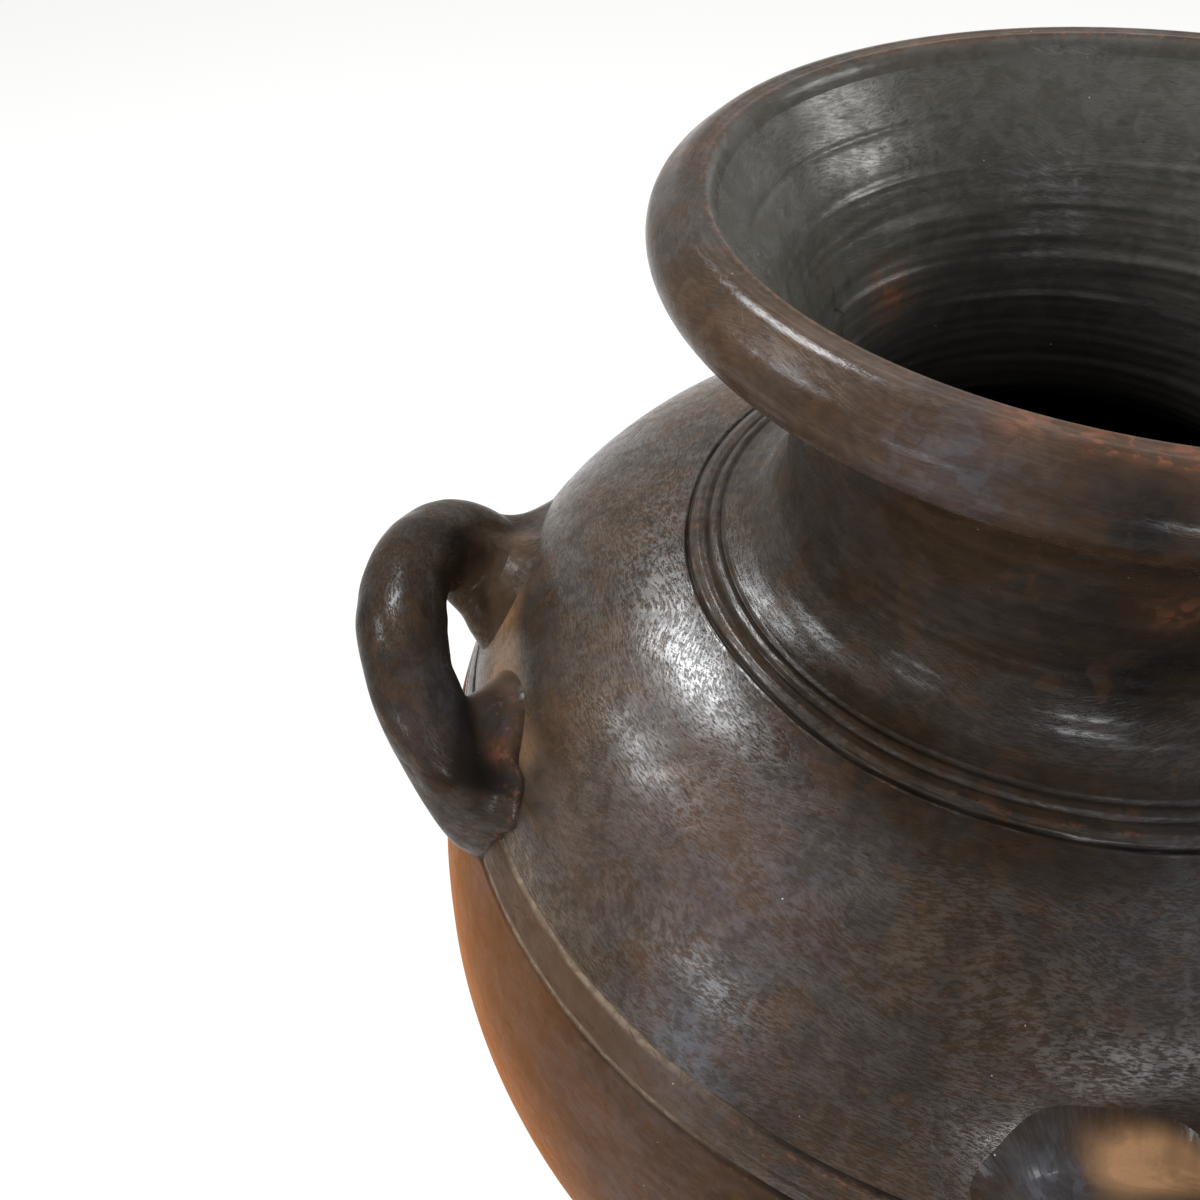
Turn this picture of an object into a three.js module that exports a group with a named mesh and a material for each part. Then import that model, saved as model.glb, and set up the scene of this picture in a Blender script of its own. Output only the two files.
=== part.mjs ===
// Dark burnished earthenware urn with four loop handles on its shoulder.
// Millimetres, +Z up. The origin is the centre of the flat base, and the left handle points to -X.

import * as THREE from 'three';
import { ParametricGeometry } from 'three/addons/geometries/ParametricGeometry.js';

// Overall form of the vessel
const URN_HEIGHT = 450;
const BASE_RADIUS = 82;
const BELLY_RADIUS = 200;
const BELLY_HEIGHT = 194;
const NECK_FOOT_RADIUS = 110.5;
const NECK_FOOT_HEIGHT = 340;
const NECK_RADIUS = 82;
const NECK_HEIGHT = 368;
const THROAT_RADIUS = 69.5;
const THROAT_HEIGHT = 356;
const RIM_RADIUS = 112.4;
const RIM_ROLL_RADIUS = 10.7;

// Thickness of the clay
const WALL = 10.5;
const FLOOR = 12;

// Slopes in degrees above the level, going outwards
const LOWER_WALL_SLOPE = 44;
const SHOULDER_SLOPE = -6;
const RING_SLOPE = -15;
const RIM_INNER_SLOPE = 54;

// How far each curve runs on before it turns
const BASE_EDGE_ROUND = 7;
const LOWER_WALL_RUN = 92;
const BELLY_RUN_DOWN = 92;
const BELLY_RUN_UP = 77.5;
const SHOULDER_RUN = 62;
const NECK_RUN_DOWN = 13;
const NECK_RUN_UP = 34;
const RING_RUN = 9;
const RIM_RUN = 19;
const FUNNEL_RUN = 24;
const THROAT_RUN_UP = 36;
const THROAT_RUN_DOWN = 15;

// Incised lines and the raised bands between them
const LINE_WIDTH = 2.2;
const LINE_DEPTH = 1.1;
const BELLY_BAND_WIDTH = 15;
const NECK_RING_WIDTHS = [6.4, 4.2];
const NECK_RING_MARGIN = 4.5;
const NECK_RING_RISE = 0.8;

// Scored and slipped seams between the thrown sections
const SLIP = 0.4;
const TONGUE = 4;
const BASE_TURN_UP = 24;
const BELLY_SEAM_ABOVE_BELLY = 80;

// Handles: coils that stand on the shoulder, each with a wad of clay pressed round both feet
const HANDLE_SEAT_ABOVE_SEAM = 25.5;
const HANDLE_HALF_SPAN = 53.5;
const HANDLE_LEG = 6;
const HANDLE_RISE = 31.5;
const HANDLE_LEAN = 13.5;
const HANDLE_COIL_RADIUS = 13.6;
const SEAT_GAP = 0.35;
const WAD_EDGE = 1;
const WAD_REACH = 6.5;
const WAD_TIP_REACH = 11;
const HANDLE_AZIMUTHS = { left: 180, front: 270, right: 0, back: 90 };

// Facets
const VESSEL_SEGMENTS = 44;
const COIL_SIDES = 16;
const ARCH_STEPS = 12;

const at = (radius, height) => new THREE.Vector2(radius, height);

// A point at a distance from another, in a direction given in degrees above the level
function onward(start, distance, degrees) {
  const angle = THREE.MathUtils.degToRad(degrees);
  return at(start.x + distance * Math.cos(angle), start.y + distance * Math.sin(angle));
}

// A curve that leaves one point and reaches the next along the tangents to two further points
const bend = (start, leave, reach, end) => new THREE.CubicBezierCurve(start, leave, reach, end);

// The direction square to a curve, to the left of its travel
function leftOf(curve, share) {
  const tangent = curve.getTangentAt(share);
  return at(-tangent.y, tangent.x);
}

// Outer face of the wall, as radius and height, from the base to the rim
const baseCorner = at(BASE_RADIUS, 0);
const wallStart = onward(baseCorner, BASE_EDGE_ROUND, LOWER_WALL_SLOPE);
const belly = at(BELLY_RADIUS, BELLY_HEIGHT);
const neckFoot = at(NECK_FOOT_RADIUS, NECK_FOOT_HEIGHT);
const ringZone = NECK_RING_WIDTHS.reduce((sum, width) => sum + width, NECK_RING_MARGIN);
const neckStart = onward(neckFoot, -ringZone, RING_SLOPE);
const waist = at(NECK_RADIUS, NECK_HEIGHT);
const rollCentre = at(RIM_RADIUS, URN_HEIGHT - RIM_ROLL_RADIUS);
const rollBottom = at(RIM_RADIUS, rollCentre.y - RIM_ROLL_RADIUS);

const outer = {
  baseEdge: new THREE.QuadraticBezierCurve(
    at(BASE_RADIUS - BASE_EDGE_ROUND, 0), baseCorner, wallStart),
  lower: bend(wallStart, onward(wallStart, LOWER_WALL_RUN, LOWER_WALL_SLOPE),
    at(BELLY_RADIUS, BELLY_HEIGHT - BELLY_RUN_DOWN), belly),
  shoulder: bend(belly, at(BELLY_RADIUS, BELLY_HEIGHT + BELLY_RUN_UP),
    onward(neckFoot, SHOULDER_RUN, SHOULDER_SLOPE), neckFoot),
  rings: new THREE.LineCurve(neckFoot, neckStart),
  neck: bend(neckStart, onward(neckStart, -RING_RUN, RING_SLOPE),
    at(NECK_RADIUS, NECK_HEIGHT - NECK_RUN_DOWN), waist),
  flare: bend(waist, at(NECK_RADIUS, NECK_HEIGHT + NECK_RUN_UP),
    at(RIM_RADIUS - RIM_RUN, rollBottom.y), rollBottom),
  roll: new THREE.EllipseCurve(rollCentre.x, rollCentre.y, RIM_ROLL_RADIUS, RIM_ROLL_RADIUS,
    -Math.PI / 2, Math.PI / 2 + THREE.MathUtils.degToRad(RIM_INNER_SLOPE)),
};

// Inner face of the wall, from the rim down to the shoulder: below that it follows the outer face
const rollEnd = outer.roll.getPoint(1);
const throat = at(THROAT_RADIUS, THROAT_HEIGHT);
const underNeck = onward(neckFoot, -WALL, SHOULDER_SLOPE + 90);
const inner = {
  funnel: bend(rollEnd, onward(rollEnd, -FUNNEL_RUN, RIM_INNER_SLOPE),
    at(THROAT_RADIUS, THROAT_HEIGHT + THROAT_RUN_UP), throat),
  turn: bend(throat, at(THROAT_RADIUS, THROAT_HEIGHT - THROAT_RUN_DOWN),
    onward(underNeck, -THROAT_RUN_DOWN, SHOULDER_SLOPE), underNeck),
};

// Evenly spaced points on a stretch of a curve, without its two ends, moved to its left by an inset
function between(curve, from, to, steps, inset = 0) {
  const points = [];
  for (let step = 1; step < steps; step += 1) {
    const share = THREE.MathUtils.lerp(from, to, step / steps);
    points.push(curve.getPointAt(share).addScaledVector(leftOf(curve, share), inset));
  }
  return points;
}

// A stretch of a curve with lines cut into it, and with the clay of a band raised by a rise.
// Distances run along the curve in millimetres, and a line at an end gives half of its groove.
function scored(curve, from, to, steps, lines, band = [0, 0], rise = 0) {
  const length = curve.getLength();
  const offsets = [];
  for (let step = 1; step < steps; step += 1) {
    const distance = THREE.MathUtils.lerp(from, to, step / steps);
    if (lines.every((line) => Math.abs(distance - line) > LINE_WIDTH)) {
      offsets.push({ distance, depth: 0 });
    }
  }
  for (const line of lines) {
    offsets.push({ distance: line - LINE_WIDTH / 2, depth: 0 });
    offsets.push({ distance: line, depth: LINE_DEPTH });
    offsets.push({ distance: line + LINE_WIDTH / 2, depth: 0 });
  }
  return offsets
    .filter(({ distance }) => distance > from && distance < to)
    .sort((one, other) => one.distance - other.distance)
    .map(({ distance, depth }) => {
      const raised = distance > band[0] && distance < band[1];
      const inset = depth - (raised ? rise : 0);
      const share = distance / length;
      return curve.getPointAt(share).addScaledVector(leftOf(curve, share), inset);
    });
}

// A seam across the wall: the section below ends in a ridge, and the one above is notched to fit over it
function seam(outerPoint, innerPoint) {
  const across = innerPoint.clone().sub(outerPoint).normalize();
  const along = at(across.y, -across.x);
  const ridge = outerPoint.clone().lerp(innerPoint, 0.5).addScaledVector(along, TONGUE);
  const face = (shift) => [outerPoint, ridge, innerPoint].map(
    (corner) => corner.clone().addScaledVector(along, shift));
  return { below: face(-SLIP / 2), above: face(SLIP / 2) };
}

// The seam at a share of a curve whose inner face follows it, with the outer end in a groove of some depth
function seamOn(curve, share, depth) {
  const surface = curve.getPointAt(share);
  const inward = leftOf(curve, share);
  return seam(
    surface.clone().addScaledVector(inward, depth), surface.clone().addScaledVector(inward, WALL));
}

const shoulderLength = outer.shoulder.getLength();
const baseSeamShare = BASE_TURN_UP / outer.lower.getLength();
const bellySeamShare = BELLY_SEAM_ABOVE_BELLY / shoulderLength;
const baseSeam = seamOn(outer.lower, baseSeamShare, 0);
const bellySeam = seamOn(outer.shoulder, bellySeamShare, LINE_DEPTH);
const neckSeam = seam(onward(neckFoot, -LINE_DEPTH, SHOULDER_SLOPE + 90), underNeck);
const rimSeam = seam(rollBottom, rollEnd);

// A section of the vessel turned about its axis, from its half outline taken up the outer face
function turned(outline) {
  const geometry = new THREE.LatheGeometry([...outline, outline[0]], VESSEL_SEGMENTS);
  return geometry.rotateX(Math.PI / 2);
}

function baseOutline() {
  const floorEdge = wallStart.clone().addScaledVector(leftOf(outer.lower, 0), WALL);
  return [
    at(0, 0),
    outer.baseEdge.getPoint(0),
    ...between(outer.baseEdge, 0, 1, 3),
    wallStart,
    ...between(outer.lower, 0, baseSeamShare, 2),
    ...baseSeam.below,
    ...between(outer.lower, baseSeamShare, 0, 2, WALL),
    at(floorEdge.x, Math.max(FLOOR, floorEdge.y)),
    at(floorEdge.x - WALL, FLOOR),
    at(0, FLOOR),
  ];
}

function lowerBodyOutline() {
  return [
    baseSeam.above[0],
    ...between(outer.lower, baseSeamShare, 1, 7),
    belly,
    ...scored(outer.shoulder, 0, BELLY_SEAM_ABOVE_BELLY, 3, [BELLY_SEAM_ABOVE_BELLY]),
    ...bellySeam.below,
    ...between(outer.shoulder, bellySeamShare, 0, 3, WALL),
    belly.clone().setX(BELLY_RADIUS - WALL),
    ...between(outer.lower, 1, baseSeamShare, 6, WALL),
    baseSeam.above[2],
    baseSeam.above[1],
  ];
}

function shoulderOutline() {
  const seamLine = BELLY_SEAM_ABOVE_BELLY;
  const lines = [seamLine, seamLine + BELLY_BAND_WIDTH, shoulderLength];
  return [
    bellySeam.above[0],
    ...scored(outer.shoulder, seamLine, shoulderLength, 10, lines),
    ...neckSeam.below,
    ...between(outer.shoulder, 1, bellySeamShare, 6, WALL),
    bellySeam.above[2],
    bellySeam.above[1],
  ];
}

function neckOutline() {
  const lines = NECK_RING_WIDTHS.reduce((found, width) => [...found, found.at(-1) + width], [0]);
  return [
    neckSeam.above[0],
    ...scored(outer.rings, 0, ringZone, 4, lines, [0, lines.at(-1)], NECK_RING_RISE),
    neckStart,
    ...between(outer.neck, 0, 1, 4),
    waist,
    ...between(outer.flare, 0, 1, 6),
    ...rimSeam.below,
    ...between(inner.funnel, 0, 1, 6),
    throat,
    ...between(inner.turn, 0, 1, 5),
    neckSeam.above[2],
    neckSeam.above[1],
  ];
}

function rimOutline() {
  return [
    rimSeam.above[0],
    ...between(outer.roll, 0, 1, 12),
    rimSeam.above[2],
    rimSeam.above[1],
  ];
}

// The handles stand on the shoulder's outer face. A place there is an azimuth, a distance up the
// face from the middle of the seat, and a height off the face, so that feet and wads fit its curve.
const seatShare = bellySeamShare + HANDLE_SEAT_ABOVE_SEAM / shoulderLength;
const seatRadius = outer.shoulder.getPointAt(seatShare).x;

function offShoulder(azimuth, upward, height) {
  const share = THREE.MathUtils.clamp(seatShare + upward / shoulderLength, 0, 1);
  const surface = outer.shoulder.getPointAt(share);
  const place = surface.addScaledVector(leftOf(outer.shoulder, share), -height);
  return new THREE.Vector3(place.x * Math.cos(azimuth), place.x * Math.sin(azimuth), place.y);
}

// How much wider the shoulder's own directions are at a height off its face than on it
const seatOutward = leftOf(outer.shoulder, seatShare).negate();
const seatBend = outer.shoulder.getTangentAt(seatShare + 0.05).angleTo(
  outer.shoulder.getTangentAt(seatShare - 0.05)) / (0.1 * shoulderLength);

// A point beside a coil's centre line: the centre is an azimuth, a distance up the face and a height
function besideCentre(centre, sideways, upward, higher) {
  const height = centre.height + higher;
  const radius = seatRadius + seatOutward.x * height;
  const azimuth = centre.azimuth + sideways / radius;
  return offShoulder(azimuth, centre.upward + upward / (1 + seatBend * height), height);
}

// The coil's centre line: two straight legs and half an ellipse between them, leaning up the shoulder.
// Each row of the coil's skin is a ring about the line, and rings that shrink to a point close its feet.
function handleRows() {
  const halfSpan = HANDLE_HALF_SPAN / seatRadius;
  const foot = (side, height, girth) => (
    { azimuth: side * halfSpan, upward: 0, height, girth, tilt: side < 0 ? 0 : Math.PI });
  const rows = [0, 0.5, 1].map((girth) => foot(-1, SEAT_GAP, girth));
  for (let step = 0; step <= ARCH_STEPS; step += 1) {
    const turn = (Math.PI * step) / ARCH_STEPS;
    rows.push({
      azimuth: -halfSpan * Math.cos(turn),
      upward: HANDLE_LEAN * Math.sin(turn),
      height: HANDLE_LEG + HANDLE_RISE * Math.sin(turn),
      girth: 1,
      tilt: Math.atan2(HANDLE_HALF_SPAN * Math.sin(turn), HANDLE_RISE * Math.cos(turn)),
    });
  }
  return rows.concat([1, 0.5, 0].map((girth) => foot(1, SEAT_GAP, girth)));
}

function handleGeometry() {
  const rows = handleRows();
  const place = (share, around, target) => {
    const row = rows[Math.round(share * (rows.length - 1))];
    const angle = -around * 2 * Math.PI;
    const across = HANDLE_COIL_RADIUS * row.girth * Math.cos(angle);
    const upward = HANDLE_COIL_RADIUS * row.girth * Math.sin(angle);
    target.copy(besideCentre(
      row, across * Math.cos(row.tilt), upward, -across * Math.sin(row.tilt)));
  };
  return new ParametricGeometry(place, rows.length - 1, COIL_SIDES);
}

// The wad round a foot: a ring whose outer face sweeps down from the leg and runs out onto the
// shoulder, drawn out below the foot into a tip that points at the belly band
function wadGeometry(side) {
  const centre = { azimuth: (side * HANDLE_HALF_SPAN) / seatRadius, upward: 0, height: 0 };
  const bore = HANDLE_COIL_RADIUS + SEAT_GAP;
  const section = (reach) => [
    { out: bore, height: SEAT_GAP },
    { out: bore + reach, height: SEAT_GAP },
    { out: bore + reach, height: SEAT_GAP + WAD_EDGE },
    { out: bore + WAD_EDGE + reach * 0.3, height: SEAT_GAP + HANDLE_LEG * 0.3 },
    { out: bore + WAD_EDGE, height: HANDLE_LEG },
    { out: bore, height: HANDLE_LEG },
    { out: bore, height: SEAT_GAP },
  ];
  const place = (share, around, target) => {
    const angle = -around * 2 * Math.PI;
    const downward = Math.max(0, -Math.sin(angle));
    const reach = WAD_REACH + (WAD_TIP_REACH - WAD_REACH) * downward ** 4;
    const outline = section(reach);
    const corner = outline[Math.round(share * (outline.length - 1))];
    target.copy(besideCentre(
      centre, corner.out * Math.cos(angle), corner.out * Math.sin(angle), corner.height));
  };
  return new ParametricGeometry(place, section(WAD_REACH).length - 1, COIL_SIDES);
}

// Burnished and smoked clay, with a lighter brown where the burnishing tool could not reach
const finishes = {
  base: { color: 0x3a2f27, roughness: 0.75 },
  lower_body: { color: 0x3b332d, roughness: 0.5 },
  shoulder: { color: 0x37312d, roughness: 0.42 },
  neck: { color: 0x332e2a, roughness: 0.48 },
  rim: { color: 0x3a302a, roughness: 0.4 },
  handle: { color: 0x35302c, roughness: 0.45 },
  wad: { color: 0x5b4536, roughness: 0.6 },
};

function piece(name, geometry, finish) {
  const material = new THREE.MeshStandardMaterial({ ...finishes[finish], metalness: 0 });
  const mesh = new THREE.Mesh(geometry, material);
  mesh.name = name;
  return mesh;
}

const urn = new THREE.Group();
urn.name = 'urn';
urn.add(
  piece('base', turned(baseOutline()), 'base'),
  piece('lower_body', turned(lowerBodyOutline()), 'lower_body'),
  piece('shoulder', turned(shoulderOutline()), 'shoulder'),
  piece('neck', turned(neckOutline()), 'neck'),
  piece('rim', turned(rimOutline()), 'rim'),
);
for (const [place, azimuth] of Object.entries(HANDLE_AZIMUTHS)) {
  const handle = new THREE.Group();
  handle.name = `handle_group_${place}`;
  handle.rotation.z = THREE.MathUtils.degToRad(azimuth);
  handle.add(
    piece(`handle_${place}`, handleGeometry(), 'handle'),
    piece(`handle_${place}_wad_a`, wadGeometry(-1), 'wad'),
    piece(`handle_${place}_wad_b`, wadGeometry(1), 'wad'),
  );
  urn.add(handle);
}

export default urn;
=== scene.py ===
"""Dark burnished earthenware urn: thrown sections with incised rings, and four coil handles.

Metres, +Z up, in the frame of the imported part. The urn stands on z = 0 with its axis on the origin.
"""
import math

import bpy
import numpy as np
from bpy.props import FloatProperty, FloatVectorProperty, PointerProperty
from bpy.types import NodeSocket, Operator, Panel, PropertyGroup
from mathutils import Matrix, Vector


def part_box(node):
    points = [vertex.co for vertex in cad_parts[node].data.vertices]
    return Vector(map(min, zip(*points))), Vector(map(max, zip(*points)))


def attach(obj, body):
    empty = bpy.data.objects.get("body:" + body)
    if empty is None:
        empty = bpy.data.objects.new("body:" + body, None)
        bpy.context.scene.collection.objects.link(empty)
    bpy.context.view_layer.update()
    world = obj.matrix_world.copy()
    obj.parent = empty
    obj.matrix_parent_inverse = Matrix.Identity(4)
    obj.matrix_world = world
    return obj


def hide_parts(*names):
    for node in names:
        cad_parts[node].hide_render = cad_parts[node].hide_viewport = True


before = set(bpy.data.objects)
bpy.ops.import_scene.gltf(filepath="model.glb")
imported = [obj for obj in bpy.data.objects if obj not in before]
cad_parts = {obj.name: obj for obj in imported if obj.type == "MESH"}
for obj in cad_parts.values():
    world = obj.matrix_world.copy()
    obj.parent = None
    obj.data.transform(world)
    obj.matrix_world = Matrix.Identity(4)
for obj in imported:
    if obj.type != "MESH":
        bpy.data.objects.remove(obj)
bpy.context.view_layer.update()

bl_info = {
    "name": "Burnished Urn",
    "version": (1, 0, 0),
    "blender": (4, 5, 0),
    "location": "3D Viewport > Sidebar > Urn",
    "description": "Builds a smoked and burnished clay urn section by section, with its coil handles",
    "category": "Add Mesh",
}

MM = 0.001
TURN = 2 * math.pi
# Soft blots, as strength, reach and middle in millimetres: stains of the firing, and also painted shade,
# painted sheen and highlights, and painted warm light, as noted at each kind
STAINS = {
    # Soot smudges, and painted shade under the lip on the right and round the neck's waist, which lie in the
    # lip's shadow
    "smudge_and_shade": [
        (0.8, 30, -76, -152, 306), (1.6, 34, -24, -104, 422), (1.3, 38, -14, -90, 372),
        (0.9, 22, -100, -146, 286), (1.0, 42, -205, -8, 330), (0.5, 40, -122, 10, 438),
        (0.7, 30, -30, -112, 342), (0.8, 40, 118, 90, 320), (0.6, 50, 60, 160, 250), (0.7, 45, 170, -80, 240),
        (1.2, 14, -48, -110, 440), (1.2, 80, 0, 0, 382)],
    # Bluish grey patches, and painted bluish sheen and highlights: on the lip's front, on the front handle's
    # knob and on the ridge of the left handle's near foot
    "bluish_patch_and_sheen": [
        (1.0, 17, -124, -129, 293), (0.4, 32, -108, -104, 326), (0.5, 30, -6, -124, 340),
        (0.8, 40, 150, 60, 290), (0.6, 45, 40, -170, 230), (0.7, 42, -60, 160, 290),
        (0.6, 15, -78, -97, 440), (0.9, 14, -186, -58, 272), (0.4, 36, -142, -146, 240),
        (1.4, 9, -52, -169, 311), (1.2, 5, -170, -37, 311), (0.9, 15, -181, -32, 322)],
    # Painted warm bounce light: the two strong blots low on the left stand in for warm light from the floor,
    # the others are fire-flashed patches
    "flash_and_bounce_glow": [
        (1.5, 104, -222, -20, 160), (1.5, 72, -200, -84, 152), (0.5, 70, 40, -150, 70),
        (0.6, 80, 120, 190, 120)],
    # Rust spots, and a row of blots along the lip's front crest that is a painted warm highlight
    "rust_and_red_glint": [
        (0.9, 8, -43, 62, 391), (0.6, 6, -14, -83, 390), (0.7, 7, 60, 75, 440), (0.8, 5, -64, -91, 450),
        (0.9, 5, -56, -95, 450), (0.8, 5, -48, -99, 450), (0.8, 5, -40, -103, 450), (0.9, 4, -168, -44, 308)],
}
# What the clay's material reads for each point of a mesh, besides its place on the unrolled skin
LAYERS = ("foot", "inside", "deep", "groove", "chalk", "edge", *STAINS)
# Azimuths of the handles in degrees
HANDLES = {"left": 180, "front": 270, "right": 0, "back": 90}
# A foot of a handle, in millimetres: how far its wad reaches on its outer side, up to the neck, under the
# coil and down to a tip, and how far the foot is moved outwards and towards the neck. Then the strength of
# its fold, the share by which the coil is thinner there, and how bare of soot the wad is under the coil.
FOOT = {"outer": 10, "up": 4, "web": 20, "tip": 10, "aside": 0, "higher": 0, "fold": 0.3, "thin": 0.03,
        "bare": 0.4}
# What differs from that in the feet of each handle, the one at the lower azimuth first
FEET = {
    "left": ({"outer": 24, "up": 8, "web": 26, "fold": 0, "bare": 0.1},
             {"outer": 1, "up": 0, "web": 28, "tip": 20, "aside": -7, "higher": -1, "fold": 0.75,
              "thin": 0.14, "bare": 0.2}),
    "front": ({"outer": 8, "up": 10, "web": 20, "aside": -11, "fold": 0, "thin": -0.18, "bare": 1.6},
              {"outer": 8, "fold": 0.5}),
    "right": ({"outer": 16}, {"outer": 5, "higher": -2}),
    "back": ({"higher": -1}, {"outer": 7, "higher": 1, "fold": 0.6}),
}
# Heights of the finger ridges inside the neck
FINGER_RIDGES = (0.4190, 0.4070, 0.3935, 0.3820, 0.3720, 0.3610, 0.3500)
# Share of the lower ring's width at which its two facets meet
RING_CREST = 0.52
# Azimuth of the crack inside the neck in degrees, and how far down the funnel its middle is
CRACK_AZIMUTH = 145
CRACK_DEPTH = 0.062
# Points round a coil, and how far from the middle of its foot the shoulder's bend is measured
COIL_POINTS = 96
SEAT_REACH = 0.0094
FLOOR_COLOUR = (236, 230, 222)


def distance(name, description, default):
    """A length in metres, as a property that the sidebar shows."""
    return FloatProperty(
        name=name, description=description, default=default, subtype="DISTANCE", unit="LENGTH", precision=4)


def angle(name, description, degrees):
    """An angle, given in degrees, as a property that the sidebar shows."""
    return FloatProperty(name=name, description=description, default=math.radians(degrees), subtype="ANGLE")


def colour(name, description, default):
    """A colour of the clay, given as the red, green and blue of a screen from 0 to 255."""
    return FloatVectorProperty(
        name=name, description=description, default=linear(*default), size=3, min=0, max=1, subtype="COLOR")


def linear(*screen):
    """Screen red, green and blue from 0 to 255 as the linear values that a shader takes."""
    return tuple(
        part / 255 / 12.92 if part <= 10 else ((part / 255 + 0.055) / 1.055) ** 2.4 for part in screen)


class UrnVesselSizes(PropertyGroup):
    """Sizes of the thrown vessel."""

    height: distance("Height", "Floor to the top of the rim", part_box("rim")[1].z)
    base_radius: distance("Base radius", "Radius of the flat base at its corner", 0.082)
    base_corner: distance("Base corner", "How far the base's rounded corner reaches up its wall", 0.007)
    belly_radius: distance("Belly radius", "Radius at the widest place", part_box("lower_body")[1].x)
    belly_height: distance("Belly height", "Height of the widest place", 0.194)
    neck_foot_radius: distance("Neck foot radius", "Radius where the neck stands on the shoulder", 0.1105)
    neck_foot_height: distance("Neck foot height", "Height where the neck stands on the shoulder", 0.340)
    neck_radius: distance("Neck radius", "Radius of the neck's waist", 0.082)
    neck_height: distance("Neck height", "Height of the neck's waist", 0.368)
    throat_radius: distance("Throat radius", "Radius of the narrowest place inside", 0.0695)
    throat_height: distance("Throat height", "Height of the narrowest place inside", 0.356)
    roll_radius: distance("Rim roll radius", "Radius of the rolled rim's section", 0.0107)
    wall: distance("Wall", "Thickness of the clay", 0.0105)
    floor: distance("Floor", "Thickness of the bottom", 0.012)
    seam_ridge: distance("Seam ridge", "Height of the ridge on the edge of each section", 0.004)
    wobble: distance("Wobble", "How far the hand-built wall strays from a true circle", 0.0006)


class UrnLineSizes(PropertyGroup):
    """Sizes of the incised lines and the raised rings."""

    width: distance("Line width", "Width of an incised line", 0.0021)
    depth: distance("Line depth", "Depth of an incised line", 0.0011)
    burr: distance("Burr", "Height of the clay pushed up beside a line", 0.0003)
    drift: distance("Drift", "How far a line strays from its level", 0.0005)
    band_width: distance("Band width", "Distance between the two lines of the belly band", 0.015)
    band_rise: distance("Band rise", "Height of the clay between the two lines of the belly band", 0.0004)
    belly_seam: distance("Belly seam", "Distance from the widest place up to the band's lower line", 0.080)
    base_seam: distance("Base seam", "How far the base's edge turns up the wall", 0.024)
    lower_ring: distance("Lower ring", "Width of the neck's lower ring", 0.0064)
    upper_ring: distance("Upper ring", "Width of the neck's upper ring", 0.0042)
    ring_margin: distance("Ring margin", "Distance from the upper ring to the neck's curve", 0.0045)
    ring_rise: distance("Ring rise", "Height of the rings' crests", 0.0009)
    faint_rise: distance("Faint ridge", "Height of the faint ridge above the rings", 0.00022)
    throwing: distance("Finger ridges", "Height of the finger ridges inside the neck", 0.0007)


class UrnHandleSizes(PropertyGroup):
    """Sizes of the coil handles."""

    seat: distance("Seat", "Distance from the band's lower line up to the middle of the feet", 0.0255)
    half_span: distance("Half span", "Half of the distance between the middles of the feet", 0.0535)
    leg: distance("Leg", "Straight length of the coil at each foot", 0.006)
    rise: distance("Rise", "How far the coil's middle stands off above its legs", 0.0315)
    lean: distance("Lean", "How far the top of the coil leans towards the neck", 0.0135)
    coil_radius: distance("Coil radius", "Radius of the hand-rolled coil", 0.0136)
    wad_height: distance("Wad height", "How far up the coil the wad is smoothed on its outer sides", 0.012)
    web_height: distance("Web height", "How far up the coil the wad is smoothed under the coil", 0.031)
    fold: distance("Fold", "Height of the fold that a finger left on the wad", 0.0030)


class UrnClayColours(PropertyGroup):
    """Colours of the smoked clay."""

    smoked: colour("Smoked", "Dark clay of most of the surface", (54, 42, 30))
    ash: colour("Ash", "Cool grey of the burnished patches", (78, 77, 79))
    # This grey is painted sheen and highlights as well as bluish grey patches of the clay
    sheen_slate: colour("Slate", "Bluish grey of the hardest rubbed places", (88, 88, 95))
    brown: colour("Brown", "Fire-flashed clay", (82, 58, 39))
    # Amber is mostly painted warm bounce light low on the left, and partly fire-flashed clay
    glow_amber: colour("Amber", "Lightest fire-flashed clay", (162, 98, 40))
    # This black serves real smudges and mottles, and also painted shade in the incised lines, the hollows and
    # the depth of the neck
    soot_and_shade: colour("Soot", "Blackest clay, in the hollows", (20, 17, 15))
    tan: colour("Tan", "Unburnished clay round the handle feet", (172, 132, 96))
    funnel: colour("Funnel", "Greenish grey clay inside the neck", (82, 81, 76))
    chalk: colour("Chalk", "Dusty clay in the shallow stretches of the belly band", (138, 124, 108))
    rust: colour("Rust", "Bare clay in small worn places", (120, 74, 50))
    fleck: colour("Fleck", "Grains of quartz and mica", (206, 198, 186))


class UrnStageSizes(PropertyGroup):
    """Camera and light."""

    camera_place: FloatVectorProperty(
        name="Camera place", description="Where the camera stands", subtype="TRANSLATION", unit="LENGTH",
        default=(-0.14220, -0.24729, 0.56111))
    camera_pan: angle("Camera pan", "Turn of the camera to the right of +Y", 0.966)
    camera_tilt: angle("Camera tilt", "How far the camera looks down", 43.66)
    camera_roll: angle("Camera roll", "Turn of the camera about its own axis", -2.6356)
    camera_lens: FloatProperty(
        name="Lens", description="Focal length for a 36 mm wide picture", default=33.03)
    floor_radius: distance("Floor radius", "Radius of the pale floor", 8.0)
    floor_drop: distance("Floor drop", "How far the floor lies under the urn", 0.0002)
    world_level: FloatProperty(
        name="World level", description="Strength of the soft light from all round", default=0.33)


def settings(name):
    """One of the property groups, as the sidebar holds it."""
    return getattr(bpy.context.scene, "urn_" + name)


# Curves of the outline, as rows of radius and height


def onward(start, step, heading):
    """The place a step away from a start. A heading is in degrees: 0 outwards, 90 up and 180 inwards."""
    turned = math.radians(heading)
    return np.array(start, float) + step * np.array([math.cos(turned), math.sin(turned)])


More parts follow.
